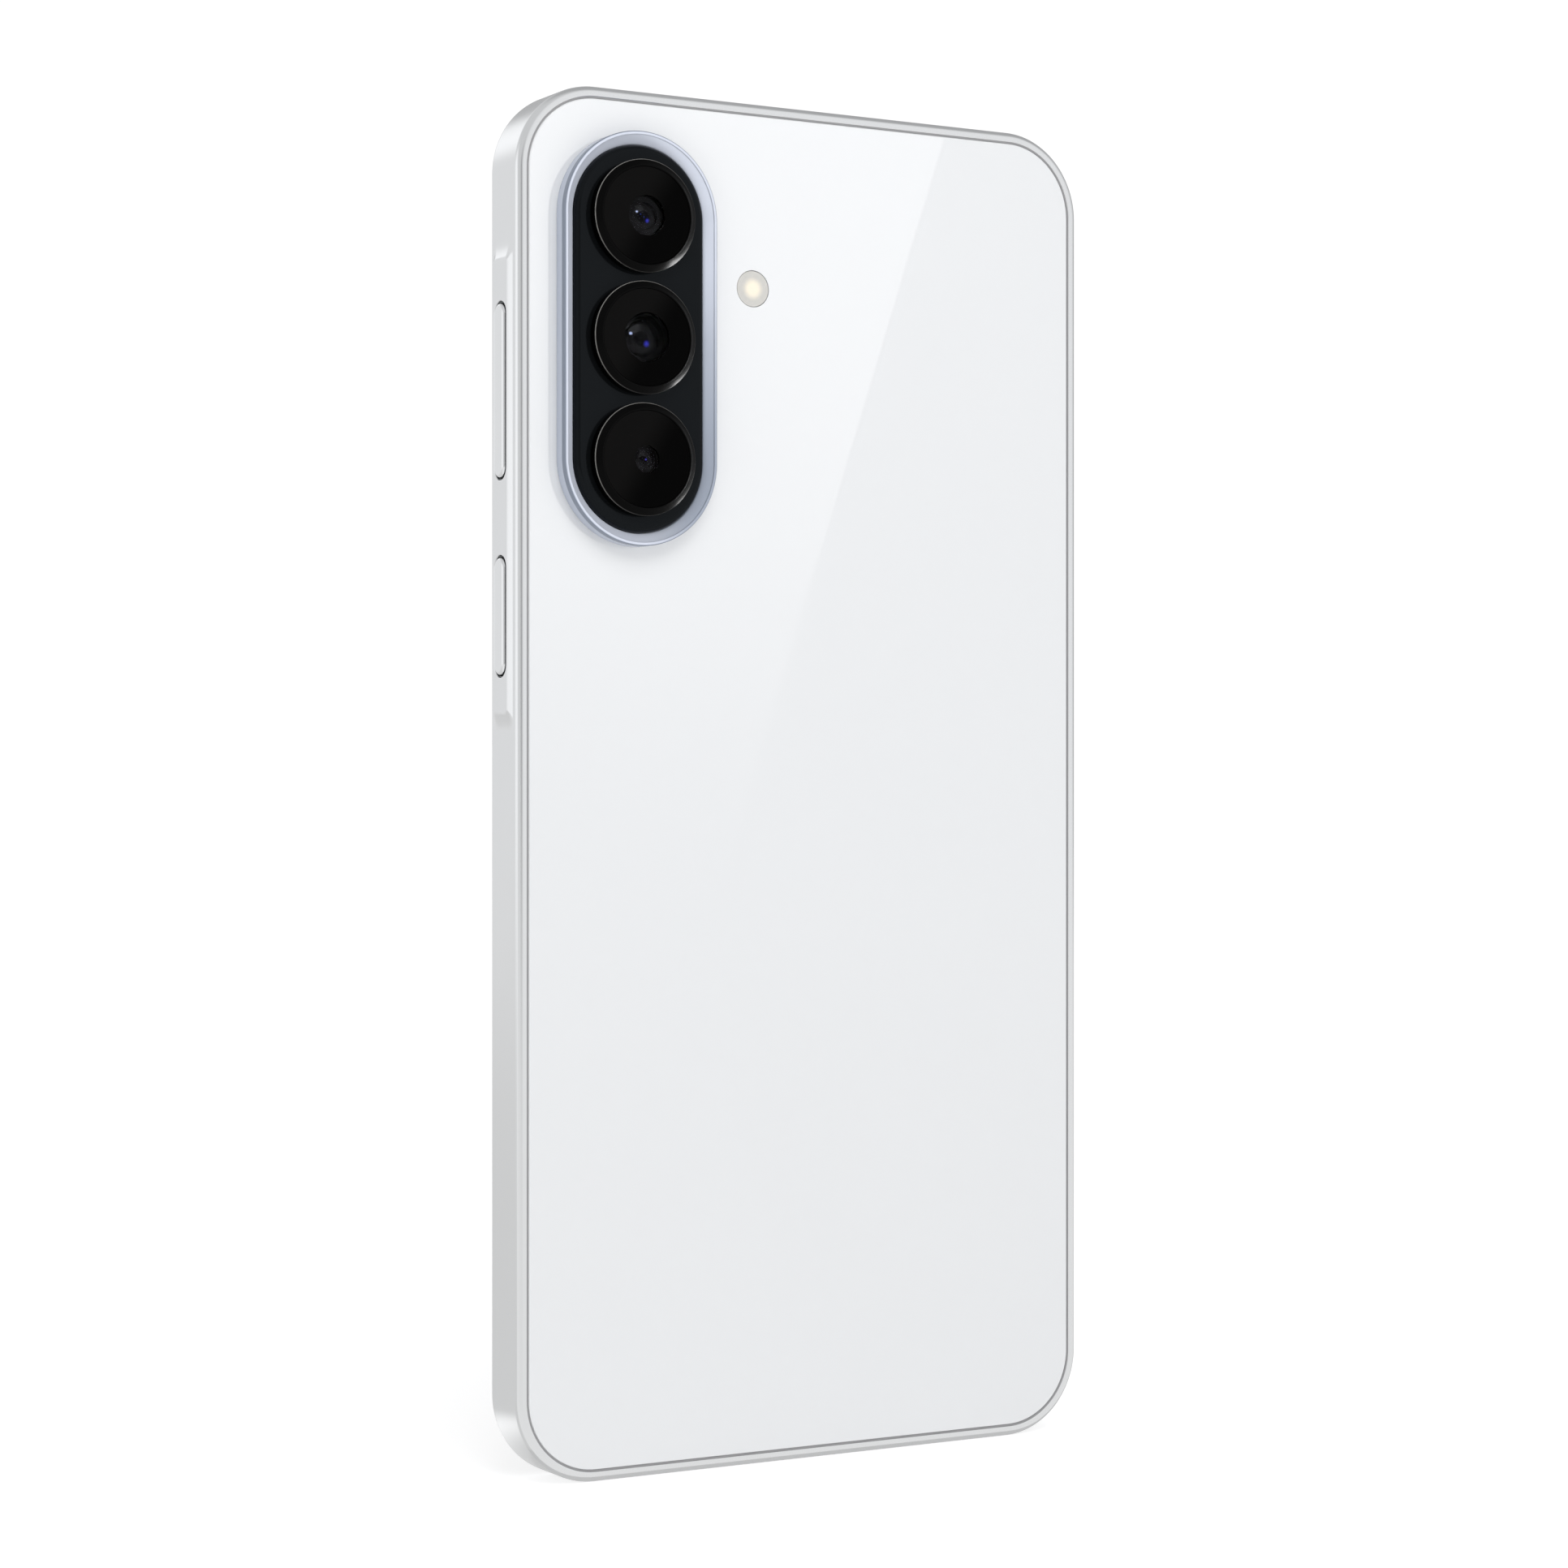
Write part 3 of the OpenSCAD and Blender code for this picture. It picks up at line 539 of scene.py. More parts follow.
def lens_glass():
    """Clear coated glass with a trace of dust in the gloss."""
    made = Finish("lens_glass", (0.93, 0.94, 0.96))
    made.set(Transmission_Weight=1.0, IOR=1.06, Specular_Tint=(0.85, 0.85, 1.0, 1))
    made.mottle(made.noise(0.6, 2), 0.01)
    return made.polish(made.noise(3, 4), 0.0, 0.02)


def flash_diffuser():
    """Milky diffuser: warm over the yellow source in its middle, grey at its rim, with fine rings."""
    made = Finish("flash_diffuser", (0.86, 0.84, 0.8), roughness=0.35)
    made.set(Coat_Weight=0.4, Coat_Roughness=0.05)
    radius = made.radius_from(FLASH_X, FLASH_Z)
    warm = made.remap(radius, 0.25 * FLASH_R, 0.72 * FLASH_R, 1, 0, smooth=True)
    milky = made.mix(made.noise(2.5, 3), (0.53, 0.52, 0.49), (0.6, 0.585, 0.555))
    made.paint(made.mix(warm, milky, (0.89, 0.815, 0.67)))
    return made.relief(made.stripes(radius, 4), 0.02, 0.5)


def screen_glass():
    """Black screen behind clear glass: the lit area is a little lighter than its printed border."""
    made = Finish("screen_glass", (0.008, 0.008, 0.009))
    made.set(Specular_IOR_Level=0.05, Coat_Weight=0.6, Coat_Roughness=0.01)
    border = 2.6
    across, along = made.offsets(0, MID_Z)
    beside = made.math("SUBTRACT", HALF_W - border, across)
    inside = made.math("MINIMUM", beside, made.math("SUBTRACT", MID_Z - border, along))
    lit = made.remap(inside, 0, 0.15)
    haze = made.mix(made.noise(0.08, 2), (0.011, 0.012, 0.014), (0.014, 0.015, 0.017))
    made.paint(made.mix(lit, (0.004, 0.004, 0.004), haze))
    return made.polish(made.noise(0.12, 5), 0.03, 0.12)


def lens_painted_glints(lens):
    """Front element: a painted sheen, lighter towards the bottom, a black pupil of painted shade and small
    violet-blue glints and reflections painted as glow.
    """
    made = Finish("element_painted_glints_" + lens.name, (0.004, 0.004, 0.0045)).set(Specular_IOR_Level=0.08)
    # Painted sheen: the element is lighter towards its bottom.
    painted_sheen = made.remap(made.axes()[2], lens.z - 1.2, lens.z + 0.6, 1, 0, smooth=True)
    cloudy = made.mix(made.noise(1.2, 2), (0.0062, 0.0062, 0.0066), (0.007, 0.007, 0.0074))
    grey = made.mix(painted_sheen, (0.0034, 0.0034, 0.0036), cloudy)
    # Painted shade: the dark pupil.
    reach = made.radius_from(CAM_X + 0.42, lens.z - 0.16)
    pupil_shade = made.remap(reach, 0.8 * lens.pupil_r, lens.pupil_r, 1, 0, smooth=True)
    made.paint(made.mix(pupil_shade, grey, (0.0003, 0.0003, 0.0005)))
    # Painted glints and reflections, given off as glow.
    lit = (0, 0, 0)
    for dx, dz, radius, color in lens.flares:
        reach = made.radius_from(CAM_X + dx, lens.z + dz)
        lit = made.mix(made.remap(reach, 0, radius, 1, 0, smooth=True), lit, color)
    made.glow(lit, 1.0)
    return made.polish(made.noise(4, 3), 0.03, 0.06)


def cover_mask(lens):
    """Black printing under the cover of a lens, with a painted sheen that makes it greyer towards its upper
    key side.
    """
    made = Finish("cover_mask_" + lens.name, (0.002, 0.002, 0.002)).set(Specular_IOR_Level=0.015)
    across, along = made.steps_from(CAM_X, lens.z)
    slanted = made.math("ADD", across, made.math("MULTIPLY", along, 0.6))
    # Painted sheen: greyer towards the upper key side, black on the other side.
    toward = made.remap(slanted, -2.2, 2.6, smooth=True)
    grey = made.mix(made.noise(0.5, 2), (0.0044, 0.0043, 0.0042), (0.005, 0.0048, 0.0047))
    made.paint(made.mix(toward, (0.0011, 0.0011, 0.0011), grey))
    return made.polish(made.noise(1.5, 3), 0.1, 0.16)


# ---------- Inside finishes ----------

def panel_film():
    made = slot_finish("panel_film", roughness=0.5)
    made.mottle(made.noise(0.4), 0.2)
    return made.relief(made.stripes(made.axes()[2], 1.5), 0.01, 0.3)


def foam_tape(slot):
    made = slot_finish(slot, roughness=0.85)
    made.mottle(made.noise(1.2), 0.15)
    return made.relief(made.cells(5), 0.05, 0.6)


def sheet_steel():
    """Sheet brushed along its width."""
    made = slot_finish("sheet_steel", metallic=1.0)
    brushed = made.noise(1.2, 4, (1, 1, 12))
    made.mottle(brushed, 0.06)
    made.polish(brushed, 0.25, 0.42)
    return made.relief(brushed, 0.006, 0.4)


def flash_phosphor():
    made = slot_finish("flash_phosphor", roughness=0.6)
    made.mottle(made.cells(9), 0.2)
    return made.relief(made.noise(12, 3), 0.01, 0.5)


def flex_film():
    """Amber polyimide with copper tracks showing through it."""
    made = slot_finish("flex_film")
    axes = made.axes()
    tracks = made.remap(made.stripes(made.math("ADD", axes[0], axes[2]), 1.6), 0.45, 0.6)
    darker = tuple(0.55 * c for c in made.color)
    made.paint(made.mix(tracks, darker, made.color))
    made.polish(made.noise(1, 3), 0.28, 0.42)
    return made.relief(tracks, 0.01, 0.4)


def board():
    """Solder mask over tracks, with plated pads."""
    made = slot_finish("board")
    tracks = made.remap(made.cells(0.45, "DISTANCE_TO_EDGE"), 0.02, 0.07, 1, 0)
    pads = made.remap(made.cells(0.8), 0.12, 0.16, 1, 0)
    lighter = tuple(min(1, 1.7 * c + 0.01) for c in made.color)
    masked = made.mix(tracks, made.color, lighter)
    made.paint(made.mix(pads, masked, (0.75, 0.6, 0.32)))
    made.polish(made.noise(1.2, 3), 0.3, 0.5)
    return made.relief(tracks, 0.03, 0.5)


def mesh():
    """Woven screen: crossing wires, with the gaps between them painted near-black as shade."""
    made = slot_finish("mesh", metallic=0.7, roughness=0.5)
    axes = made.axes()
    warp = made.stripes(axes[0], 4)
    weft = made.stripes(made.math("ADD", axes[1], axes[2]), 4)
    wires = made.remap(made.math("MAXIMUM", warp, weft), 0.6, 0.9)
    # Painted shade: the gaps between the wires are near-black.
    made.paint(made.mix(wires, (0.005, 0.005, 0.005), made.color))
    return made.relief(wires, 0.06, 0.8)


def cable():
    """Coaxial lead: braid under a thin sleeve."""
    made = slot_finish("cable", roughness=0.45)
    axes = made.axes()
    braid = made.stripes(made.math("ADD", axes[2], axes[0]), 2.2)
    made.mottle(braid, 0.15)
    return made.relief(braid, 0.03, 0.5)


def tungsten():
    """Sintered weight, turned round the middle of the vibration motor."""
    made = slot_finish("tungsten", metallic=1.0, roughness=0.4)
    made.mottle(made.noise(2.5, 4), 0.15)
    return made.relief(made.stripes(made.radius_from(MOTOR_X, MOTOR_Z), 3), 0.01, 0.4)


def coil_copper():
    """Printed tracks that run round the coil's middle."""
    made = slot_finish("coil_copper", metallic=1.0, roughness=0.35)
    low, high = box_mm("nfc_coil")
    middle = (low + high) / 2
    across, along = made.offsets(middle.x, middle.z)
    turns = made.stripes(made.math("MAXIMUM", across, along), 1.4)
    track = made.remap(turns, 0.3, 0.45)
    made.paint(made.mix(track, (0.06, 0.05, 0.04), made.color))
    return made.relief(track, 0.03, 0.5)


def screw_steel():
    made = slot_finish("screw_steel", metallic=1.0)
    made.mottle(made.noise(3, 3), 0.1)
    made.polish(made.noise(4, 4), 0.22, 0.42)
    return made.relief(made.noise(10, 2, (1, 4, 1)), 0.006, 0.4)


MADE = [
    # Bead-blasted, anodised light-grey metal, and the same on the keys
    grained(Finish("frame_satin", (0.83, 0.838, 0.845), metallic=1.0),
            mottle=(0.35, 0.006), polish=(0.9, 5, 0.19, 0.23), relief=(12, 2, 0.0012, 0.3)),
    grained(Finish("key_satin", (0.86, 0.868, 0.875), metallic=1.0),
            mottle=(0.6, 0.008), polish=(0.7, 4, 0.18, 0.23), relief=(12, 2, 0.0012, 0.3)),
    # Silicone that seals the glass panels into the frame
    grained(Finish("rim_silicone", (0.27, 0.27, 0.275), roughness=0.6),
            mottle=(2, 0.06), relief=(7, 3, 0.004, 0.4)),
    # Camera modules
    grained(Finish("module_black", (0.006, 0.006, 0.0065)).set(Specular_IOR_Level=0.3),
            mottle=(1.5, 0.2), polish=(2, 4, 0.32, 0.5), relief=(8, 3, 0.01, 0.4)),
    # Cast alloy
    grained(slot_finish("plate_alloy", metallic=1.0),
            mottle=(0.5, 0.08), polish=(1.5, 4, 0.38, 0.55), relief=(4, 4, 0.02, 0.4)),
    # Black wrap that follows the soft pouch under it
    grained(slot_finish("battery_pouch"),
            mottle=(0.15, 0.2), polish=(0.5, 4, 0.34, 0.52), relief=(0.12, 3, 0.25, 0.5)),
    # Glass-filled moulding with a spark-eroded skin
    grained(slot_finish("cover_plastic"),
            mottle=(0.7, 0.2), polish=(1.5, 4, 0.5, 0.7), relief=(6, 4, 0.02, 0.6)),
    # Rubber and moulded packages
    grained(slot_finish("seal_rubber", roughness=0.75), mottle=(2, 0.12), relief=(7, 3, 0.02, 0.5)),
    grained(slot_finish("chip", roughness=0.55), mottle=(3, 0.2), relief=(10, 3, 0.008, 0.5)),
    back_gloss(), bezel_satin(), window_gloss(), trim_dark(), lens_glass(), flash_diffuser(), screen_glass(),
    panel_film(), foam_tape("adhesive"), foam_tape("adhesive_white"), foam_tape("foam"), sheet_steel(),
    flash_phosphor(), flex_film(), board(), mesh(), cable(), tungsten(), coil_copper(), screw_steel(),
]
FINISHES = {made.name: made for made in MADE}


def finish_cad_nodes():
    """Gives every CAD node the finish of its material slot."""
    for subpart in frame["record"]["subparts"]:
        node = frame["nodes"][subpart["node"]]
        node.data.materials.clear()
        node.data.materials.append(FINISHES[subpart["material_slot"]].material)


# ---------- Frame ----------

def frame_profile():
    """Closed section of the frame as (inset, y), starting at the low edge of the outer wall."""
    lip_r = 0.1
    step_in = PANEL_INSET - 0.02
    y_edge = Y_BACK - EDGE_R
    y_step = Y_BACK - STEP_DEPTH
    back = [(EDGE_R - r, y) for r, y in arc((0, y_edge), EDGE_R, 0, 90, EDGE_STEPS)]
    back += [(LIP_W - lip_r + r, y) for r, y in arc((0, Y_BACK - lip_r), lip_r, 90, 0, 3)]
    back += [(LIP_W, y_step), (step_in, y_step), (step_in, Y_LEDGE), (WALL_T, Y_LEDGE)]
    front = [(inset, -y) for inset, y in reversed(back)]
    return back + front


def frame_piece():
    """Outer frame: its section swept round the body, with the openings in its four straight walls."""
    solid = Solid(along_y)
    profile = frame_profile()
    rings = [solid.ring(body_loop(inset), y) for inset, y in profile]
    count = len(rings)
    inner = count // 2 - 1
    outer = count - 1
    corner = CORNER_STEPS + 1
    straights = [corner * k - 1 for k in range(1, 5)]
    for k in range(count):
        open_wall = straights if k in (inner, outer) else ()
        solid.wall(rings[k], rings[(k + 1) % count], open_wall)
    for side, start in zip(("top", "left", "bottom", "right"), straights):
        outside = wall_corners(rings[outer], rings[0], start)
        inside = wall_corners(rings[inner], rings[inner + 1], start)
        wall_openings(solid, side, outside, inside)
    return solid.finish("frame_shell", "frame_satin", ["frame"], smooth_angle=22)


def wall_corners(ring_a, ring_b, start):
    """Corners of the straight wall between two rings."""
    end = (start + 1) % len(ring_a)
    return [ring_a[start], ring_a[end], ring_b[end], ring_b[start]]


def wall_openings(solid, side, outside, inside):
    """Closes one straight wall of the frame, with its openings running through it."""
    if side == "right":
        solid.place = along_x
        holes = [key_opening("volume_key"), key_opening("power_key")]
    elif side == "left":
        solid.place = along_x
        holes = [sim_opening()]
    elif side == "bottom":
        solid.place = along_z
        port = stadium_loop(PORT_W / 2 + PORT_GAP, PORT_T / 2 + PORT_GAP)
        slots = [stadium_loop(SLOT_L / 2, SLOT_W / 2, (x, 0)) for x in SLOT_XS]
        mic = circle_loop(MIC_R, (BOTTOM_MIC_X, 0), MIC_STEPS)
        holes = [through_hole(loop, 0, WALL_T) for loop in [port, *slots, mic]]
    else:
        solid.place = along_z
        mic = circle_loop(MIC_R, (TOP_MIC_X, 0), MIC_STEPS)
        holes = [through_hole(mic, BODY_H, BODY_H - WALL_T)]
    ends = [solid.stack(sections) for sections in holes]
    mouths = [first for first, last in ends]
    if side == "right":
        foot, top = solid.stack(pad_sections())
        solid.lid(outside, foot)
        solid.lid(top, *mouths)
    else:
        solid.lid(outside, *mouths)
    solid.lid(inside, *[last for first, last in ends])
    solid.place = along_y


def through_hole(loop, outer_level, inner_level):
    """Sections of a plain hole with a softened mouth."""
    soft = 0.1
    eased = 0.3 * soft
    inward = math.copysign(1, inner_level - outer_level)
    return [
        (grown(loop, soft), outer_level),
        (grown(loop, eased), outer_level + inward * eased),
        (loop, outer_level + inward * soft),
        (loop, inner_level),
    ]


def grown(loop, by):
    """The loop stretched about its middle until it reaches a length further each way."""
    mid_u, mid_v = (sum(values) / len(loop) for values in zip(*loop))
    scale_u = 1 + by / max(abs(u - mid_u) for u, v in loop)
    scale_v = 1 + by / max(abs(v - mid_v) for u, v in loop)
    return [(mid_u + scale_u * (u - mid_u), mid_v + scale_v * (v - mid_v)) for u, v in loop]


def pad_sections():
    """Raised key pad: its sides and ends sweep up from the wall to a flat top."""
    steps = 10
    foot_half = Y_BACK - EDGE_R - 0.02
    foot_r = 1.7
    top_r = 0.5
    middle = (0, (PAD_Z0 + PAD_Z1) / 2)
    sections = []
    for i in range(steps + 1):
        t = i / steps
        half_u = (1 - t) * foot_half + t * PAD_HALF
        half_v = (PAD_Z1 - PAD_Z0) / 2 + (1 - t) * PAD_RAMP
        loop = rounded_loop(half_u, half_v, (1 - t) * foot_r + t * top_r, middle, EDGE_STEPS)
        sections.append((loop, HALF_W + (PAD_X - HALF_W) * t * t))
    return sections


def key_sections(node, profile):
    """Sections round a key from a (rim, x) profile, its rims measured out from the edge of the cap."""
    low, high = box_mm(node)
    center = (0, (low.z + high.z) / 2)
    half = (high.z - low.z) / 2 - FLANGE_RIM
    return [(stadium_loop(KEY_W / 2 + rim, half + rim, center), x) for rim, x in profile]


def key_opening(node):
    """Sections of a key's opening: a close mouth on a wider pocket for the key's flange."""
    soft = 0.1
    eased = 0.03
    pocket_x = HALF_W - POCKET_DEPTH
    profile = [
        (KEY_GAP + soft, PAD_X),
        (KEY_GAP + eased, PAD_X - eased),
        (KEY_GAP, PAD_X - soft),
        (KEY_GAP, pocket_x),
        (POCKET_RIM, pocket_x),
        (POCKET_RIM, HALF_W - WALL_T),
    ]
    return key_sections(node, profile)


def sim_opening():
    """Sections of the tray's opening: a seat for its door, then the neck."""
    gap = 0.1
    soft = 0.05
    seat_x = -HALF_W + SIM_PLATE_T + gap
    wide = stadium_loop(SIM_W / 2 + gap + soft, SIM_L / 2 + gap + soft, (0, SIM_Z))
    mouth = stadium_loop(SIM_W / 2 + gap, SIM_L / 2 + gap, (0, SIM_Z))
    neck = stadium_loop(SIM_NECK_W / 2, SIM_NECK_L / 2, (0, SIM_Z))
    return [
        (wide, -HALF_W),
        (mouth, -HALF_W + soft),
        (mouth, seat_x),
        (neck, seat_x),
        (neck, -HALF_W + WALL_T),
    ]


def seal_piece(name, y_face, toward):
    """Grey seal that fills the fine gap between the frame's lip and a glass panel."""
    y_low = y_face - toward * (STEP_DEPTH - 0.01)
    y_high = y_face - toward * 0.07
    corners = [(LIP_W, y_low), (LIP_W, y_high), (PANEL_INSET, y_high), (PANEL_INSET, y_low)]
    solid = hoop([(body_loop(inset), y) for inset, y in corners])
    return solid.finish(name, "seal_rubber", look=FINISHES["rim_silicone"])


# ---------- Panels ----------

def panel_edge(radius, y_face, toward):
    """Rounded edge of a panel as (inset, y): from the side wall to the face."""
    rounding = arc((0, 0), radius, 0, 90, EDGE_STEPS)
    return [(PANEL_INSET + radius - u, y_face - toward * (radius - v)) for u, v in rounding]


def back_piece():
    """Back glass with a softly rounded rim and openings for the camera bump and the flash."""
    solid = Solid(along_y)
    rim_r = 0.22
    bump_hole = NECK_R + 0.05
    flash_hole = FLASH_R + 0.04
    soft = 0.03
    rim = [(PANEL_INSET, Y_BACK_IN)] + panel_edge(rim_r, Y_BACK, 1)
    inside, face = solid.stack([(body_loop(inset), y) for inset, y in rim])
    bump = solid.stack([(pill_loop(bump_hole), y) for y in (Y_BACK_IN, Y_BACK)])
    mouth = [(flash_hole, Y_BACK_IN), (flash_hole, Y_BACK - soft), (flash_hole + soft, Y_BACK)]
    flash = solid.stack(turned_sections(mouth, (FLASH_X, FLASH_Z)))
    solid.lid(inside, bump[0], flash[0])
    solid.lid(face, bump[1], flash[1])
    return solid.finish("back_glass", "back_gloss", ["back_panel"])


def front_piece():
    """Cover glass with a rounded rim, a slit for the earpiece and a round clearing for the camera."""
    solid = Solid(along_y)
    y_face = GLASS_LOW.y
    rim_r = 0.3
    soft = 0.05
    rim = [(PANEL_INSET, GLASS_HIGH.y)] + panel_edge(rim_r, y_face, -1)
    inside, face = solid.stack([(body_loop(inset), y) for inset, y in rim])
    slit = [
        (stadium_loop(EAR_HALF + wider, EAR_SLIT_HALF + wider, (0, EAR_Z)), y)
        for y, wider in ((GLASS_HIGH.y, 0), (y_face + soft, 0), (y_face, soft))
    ]
    clearing = [(FRONT_CAM_R, GLASS_HIGH.y), (FRONT_CAM_R, y_face)]
    slit_in, slit_out = solid.stack(slit)
    camera_in, camera_out = solid.stack(turned_sections(clearing, (0, FRONT_CAM_Z)))
    solid.lid(inside, slit_in, camera_in)
    solid.lid(face, slit_out, camera_out)
    return solid.finish("front_glass", "screen_glass", ["cover_glass"])


def front_camera_piece():
    """Front camera: a small dark dome in a printed ring, flush behind the cover glass."""
    solid = Solid(facing_front)
    center = (0, FRONT_CAM_Z)
    radius = FRONT_CAM_R - 0.02
    level = -GLASS_LOW.y - 0.04
    sunk = level - 0.45
    rim = dome(solid, center, 0.85, 1.2, sunk)
    profile = [(1.0, sunk), (1.15, level - 0.02), (radius, level), (radius, -GLASS_HIGH.y)]
    inner, outer = solid.stack(turned_sections(profile, center))
    solid.lid(inner, rim)
    solid.lid(outer)
    return solid.finish("front_camera_lens", "module_black", look=FINISHES["window_gloss"])


def earpiece_piece():
    """Fine mesh just inside the earpiece slit."""
    gap = 0.02
    thickness = 0.3
    y_face = GLASS_LOW.y + 0.12
    loop = stadium_loop(EAR_HALF - gap, EAR_SLIT_HALF - gap, (0, EAR_Z))
    solid = plug([(loop, y_face), (loop, y_face + thickness)])
    return solid.finish("earpiece_grille", "mesh", ["earpiece_mesh"])


# ---------- Camera bump ----------

def bezel_piece():
    """Raised ring of the camera bump: outer wall, narrow ridge and inner bevel."""
    foot_r = 0.1
    outer_r = 0.2
    inner_r = 0.07
    soft = 0.04
    bevel_slope = 0.8
    ridge_in = BUMP_R - 0.42
    bevel_in = WINDOW_R + 0.05
    y_foot = Y_BACK + 0.005
    y_shoulder = Y_RIDGE - 0.2
    y_bevel = y_shoulder - bevel_slope * (ridge_in - bevel_in)
    profile = [(SEAT_R, Y_LEDGE), (NECK_R, Y_LEDGE), (NECK_R, y_foot), (BUMP_R - foot_r, y_foot)]
    profile += arc((BUMP_R - foot_r, y_foot + foot_r), foot_r, -90, 0, FILLET_STEPS)
    profile += arc((BUMP_R - outer_r, Y_RIDGE - outer_r), outer_r, 0, 90, 6)
    profile += arc((ridge_in + inner_r, Y_RIDGE - inner_r), inner_r, 90, 180, FILLET_STEPS)
    profile += [(ridge_in, y_shoulder + soft), (ridge_in - soft, y_shoulder)]
    profile += [(bevel_in, y_bevel), (bevel_in, Y_SEAT), (SEAT_R, Y_SEAT)]
    solid = hoop([(pill_loop(r), y) for r, y in profile])
    return solid.finish("camera_bezel_ring", "bezel_satin", ["camera_bezel"])


def window_piece():
    """Black glass inside the bezel, rounded at its rim, with holes for the three lens barrels."""
    solid = Solid(along_y)
    edge = 0.8
    y_in = WINDOW_LOW.y
    y_face = WINDOW_HIGH.y
    rim = [(WINDOW_R, y_in)]
    rim += [(WINDOW_R - edge + r, y) for r, y in arc((0, y_face - edge), edge, 0, 90, 12)]
    inside, face = solid.stack([(pill_loop(r), y) for r, y in rim])
    hole_r = TRIM_NECK_R + 0.02
    barrel = [(hole_r, y_in), (hole_r, y_face)]
    holes = [solid.stack(turned_sections(barrel, (CAM_X, lens.z))) for lens in LENSES]
    solid.lid(inside, *[low for low, high in holes])
    solid.lid(face, *[high for low, high in holes])
    return solid.finish("camera_window_glass", "window_gloss", ["camera_window"])


def trim_piece(lens):
    """Lens trim: a ring with a shoulder, a cone up to its lip and a stepped bore."""
    y_top = TRIM_HIGH.y
    y_face = WINDOW_HIGH.y
    y_window = WINDOW_LOW.y
    glass_r = 5.73
    y_glass = y_top - 0.52
    shoulder_r = 0.1
    lip_r = 0.06
    cone = 40
    profile = [(LIGHT_R, y_window), (TRIM_NECK_R, y_window), (TRIM_NECK_R, y_face), (TRIM_R, y_face)]
    profile += arc((TRIM_R - shoulder_r, Y_SHOULDER - shoulder_r), shoulder_r, 0, cone, FILLET_STEPS)
    profile += arc((glass_r + 2 * lip_r, y_top - lip_r), lip_r, cone, 90, FILLET_STEPS)
    profile += [(glass_r, y_top - 0.01), (glass_r, y_glass), (LIGHT_R, y_glass)]
    solid = hoop(turned_sections(profile, (CAM_X, lens.z)))
    coated = trim_dark("trim_coating_" + lens.name, lens.z)
    return solid.finish("lens_trim_" + lens.name, "trim_dark", ["trim_" + lens.name], coated, smooth_angle=20)


def cover_piece(lens):
    """Cover glass of one lens, printed black round a clear middle."""
    node = "lens_glass_" + lens.name
    low, high = box_mm(node)
    radius = (high.x - low.x) / 2
    clear = lens.clear_r
    soft = 0.06
    bevel = 0.02
    profile = [(clear, low.y), (radius - soft, low.y), (radius, low.y + soft), (radius, high.y - soft)]
    profile += [(radius - soft, high.y), (clear + bevel, high.y), (clear, high.y - bevel)]
    solid = hoop(turned_sections(profile, (CAM_X, lens.z)))
    return solid.finish("lens_cover_" + lens.name, "lens_glass", [node], cover_mask(lens))


def clear_piece(lens):
    """Clear middle of one lens cover, flush with the printed part round it."""
    thickness = 0.12
    face = box_mm("lens_glass_" + lens.name)[1].y
    loop = circle_loop(lens.clear_r - 0.01, (CAM_X, lens.z))
    return plug([(loop, face - thickness), (loop, face)]).finish("lens_clear_" + lens.name, "lens_glass")


def dome(solid, center, radius, ball, y, steps=14):
    """Part of a ball that stands on the circle of that radius at level y. Gives the circle's ring."""
    y_ball = y - math.sqrt(ball * ball - radius * radius)
    start = math.degrees(math.acos(radius / ball))
    profile = arc((0, y_ball), ball, start, 90, steps)
    bottom, top = solid.stack(turned_sections(profile[:-1], center))
    solid.point(top, (*center, y_ball + ball))
    return bottom


def element_piece(lens):
    """Front element of one camera: a coated dome with a flat flange, just under the clear window."""
    ball = lens.ball_r
    dome_r = 0.56 * ball
    rise = ball - math.sqrt(ball * ball - dome_r * dome_r)
    foot = box_mm("lens_glass_" + lens.name)[1].y - lens.depth - rise
    solid = Solid(along_y)
    center = (CAM_X, lens.z)
    rim = dome(solid, center, dome_r, ball, foot)
    flange_r = lens.clear_r - 0.03
    flange = [(flange_r - 0.01, foot - 0.01), (flange_r, foot - 0.05), (flange_r, foot - 0.6)]
    outside, low = solid.stack(turned_sections(flange, center))
    solid.lid(outside, rim)
    solid.lid(low)
    return solid.finish("lens_element_" + lens.name, "lens_glass", look=lens_painted_glints(lens), body=lens.body)


def flash_piece():
    """Flush flash diffuser with a softened rim."""
    y_face = FLASH_HIGH.y
    soft = 0.1
    eased = 0.03
    profile = [(FLASH_R, FLASH_LOW.y), (FLASH_R, y_face - soft)]
    profile += [(FLASH_R - eased, y_face - eased), (FLASH_R - soft, y_face)]
    solid = plug(turned_sections(profile, (FLASH_X, FLASH_Z)))
    return solid.finish("flash_window", "flash_diffuser", ["flash_lens"])


# ---------- Keys ----------

def key_piece(node, plungers):
    """Key cap with soft edges, its flange behind the wall and its plungers."""
    low, high = box_mm(node)
    z = (low.z + high.z) / 2
    soft = 0.35
    plunger_r = 0.6
    flange_out = HALF_W - 1.1
    flange_in = flange_out - 0.45
    profile = [(FLANGE_RIM, flange_in), (FLANGE_RIM, flange_out), (0, flange_out)]
    profile += arc((-soft, high.x - soft), soft, 0, 90, 6)
    solid = Solid(along_x)
    inner, outer = solid.stack(key_sections(node, profile))
    solid.lid(outer)
    feet = []
    for offset in plungers:
        plunger = circle_loop(plunger_r, (0, z + offset), 24)
        tip, root = solid.stack([(plunger, low.x), (plunger, flange_in)])
        solid.lid(tip)
        feet.append(root)
    solid.lid(inner, *feet)
    return solid.finish(node + "_cap", "key_satin", [node], body=node)


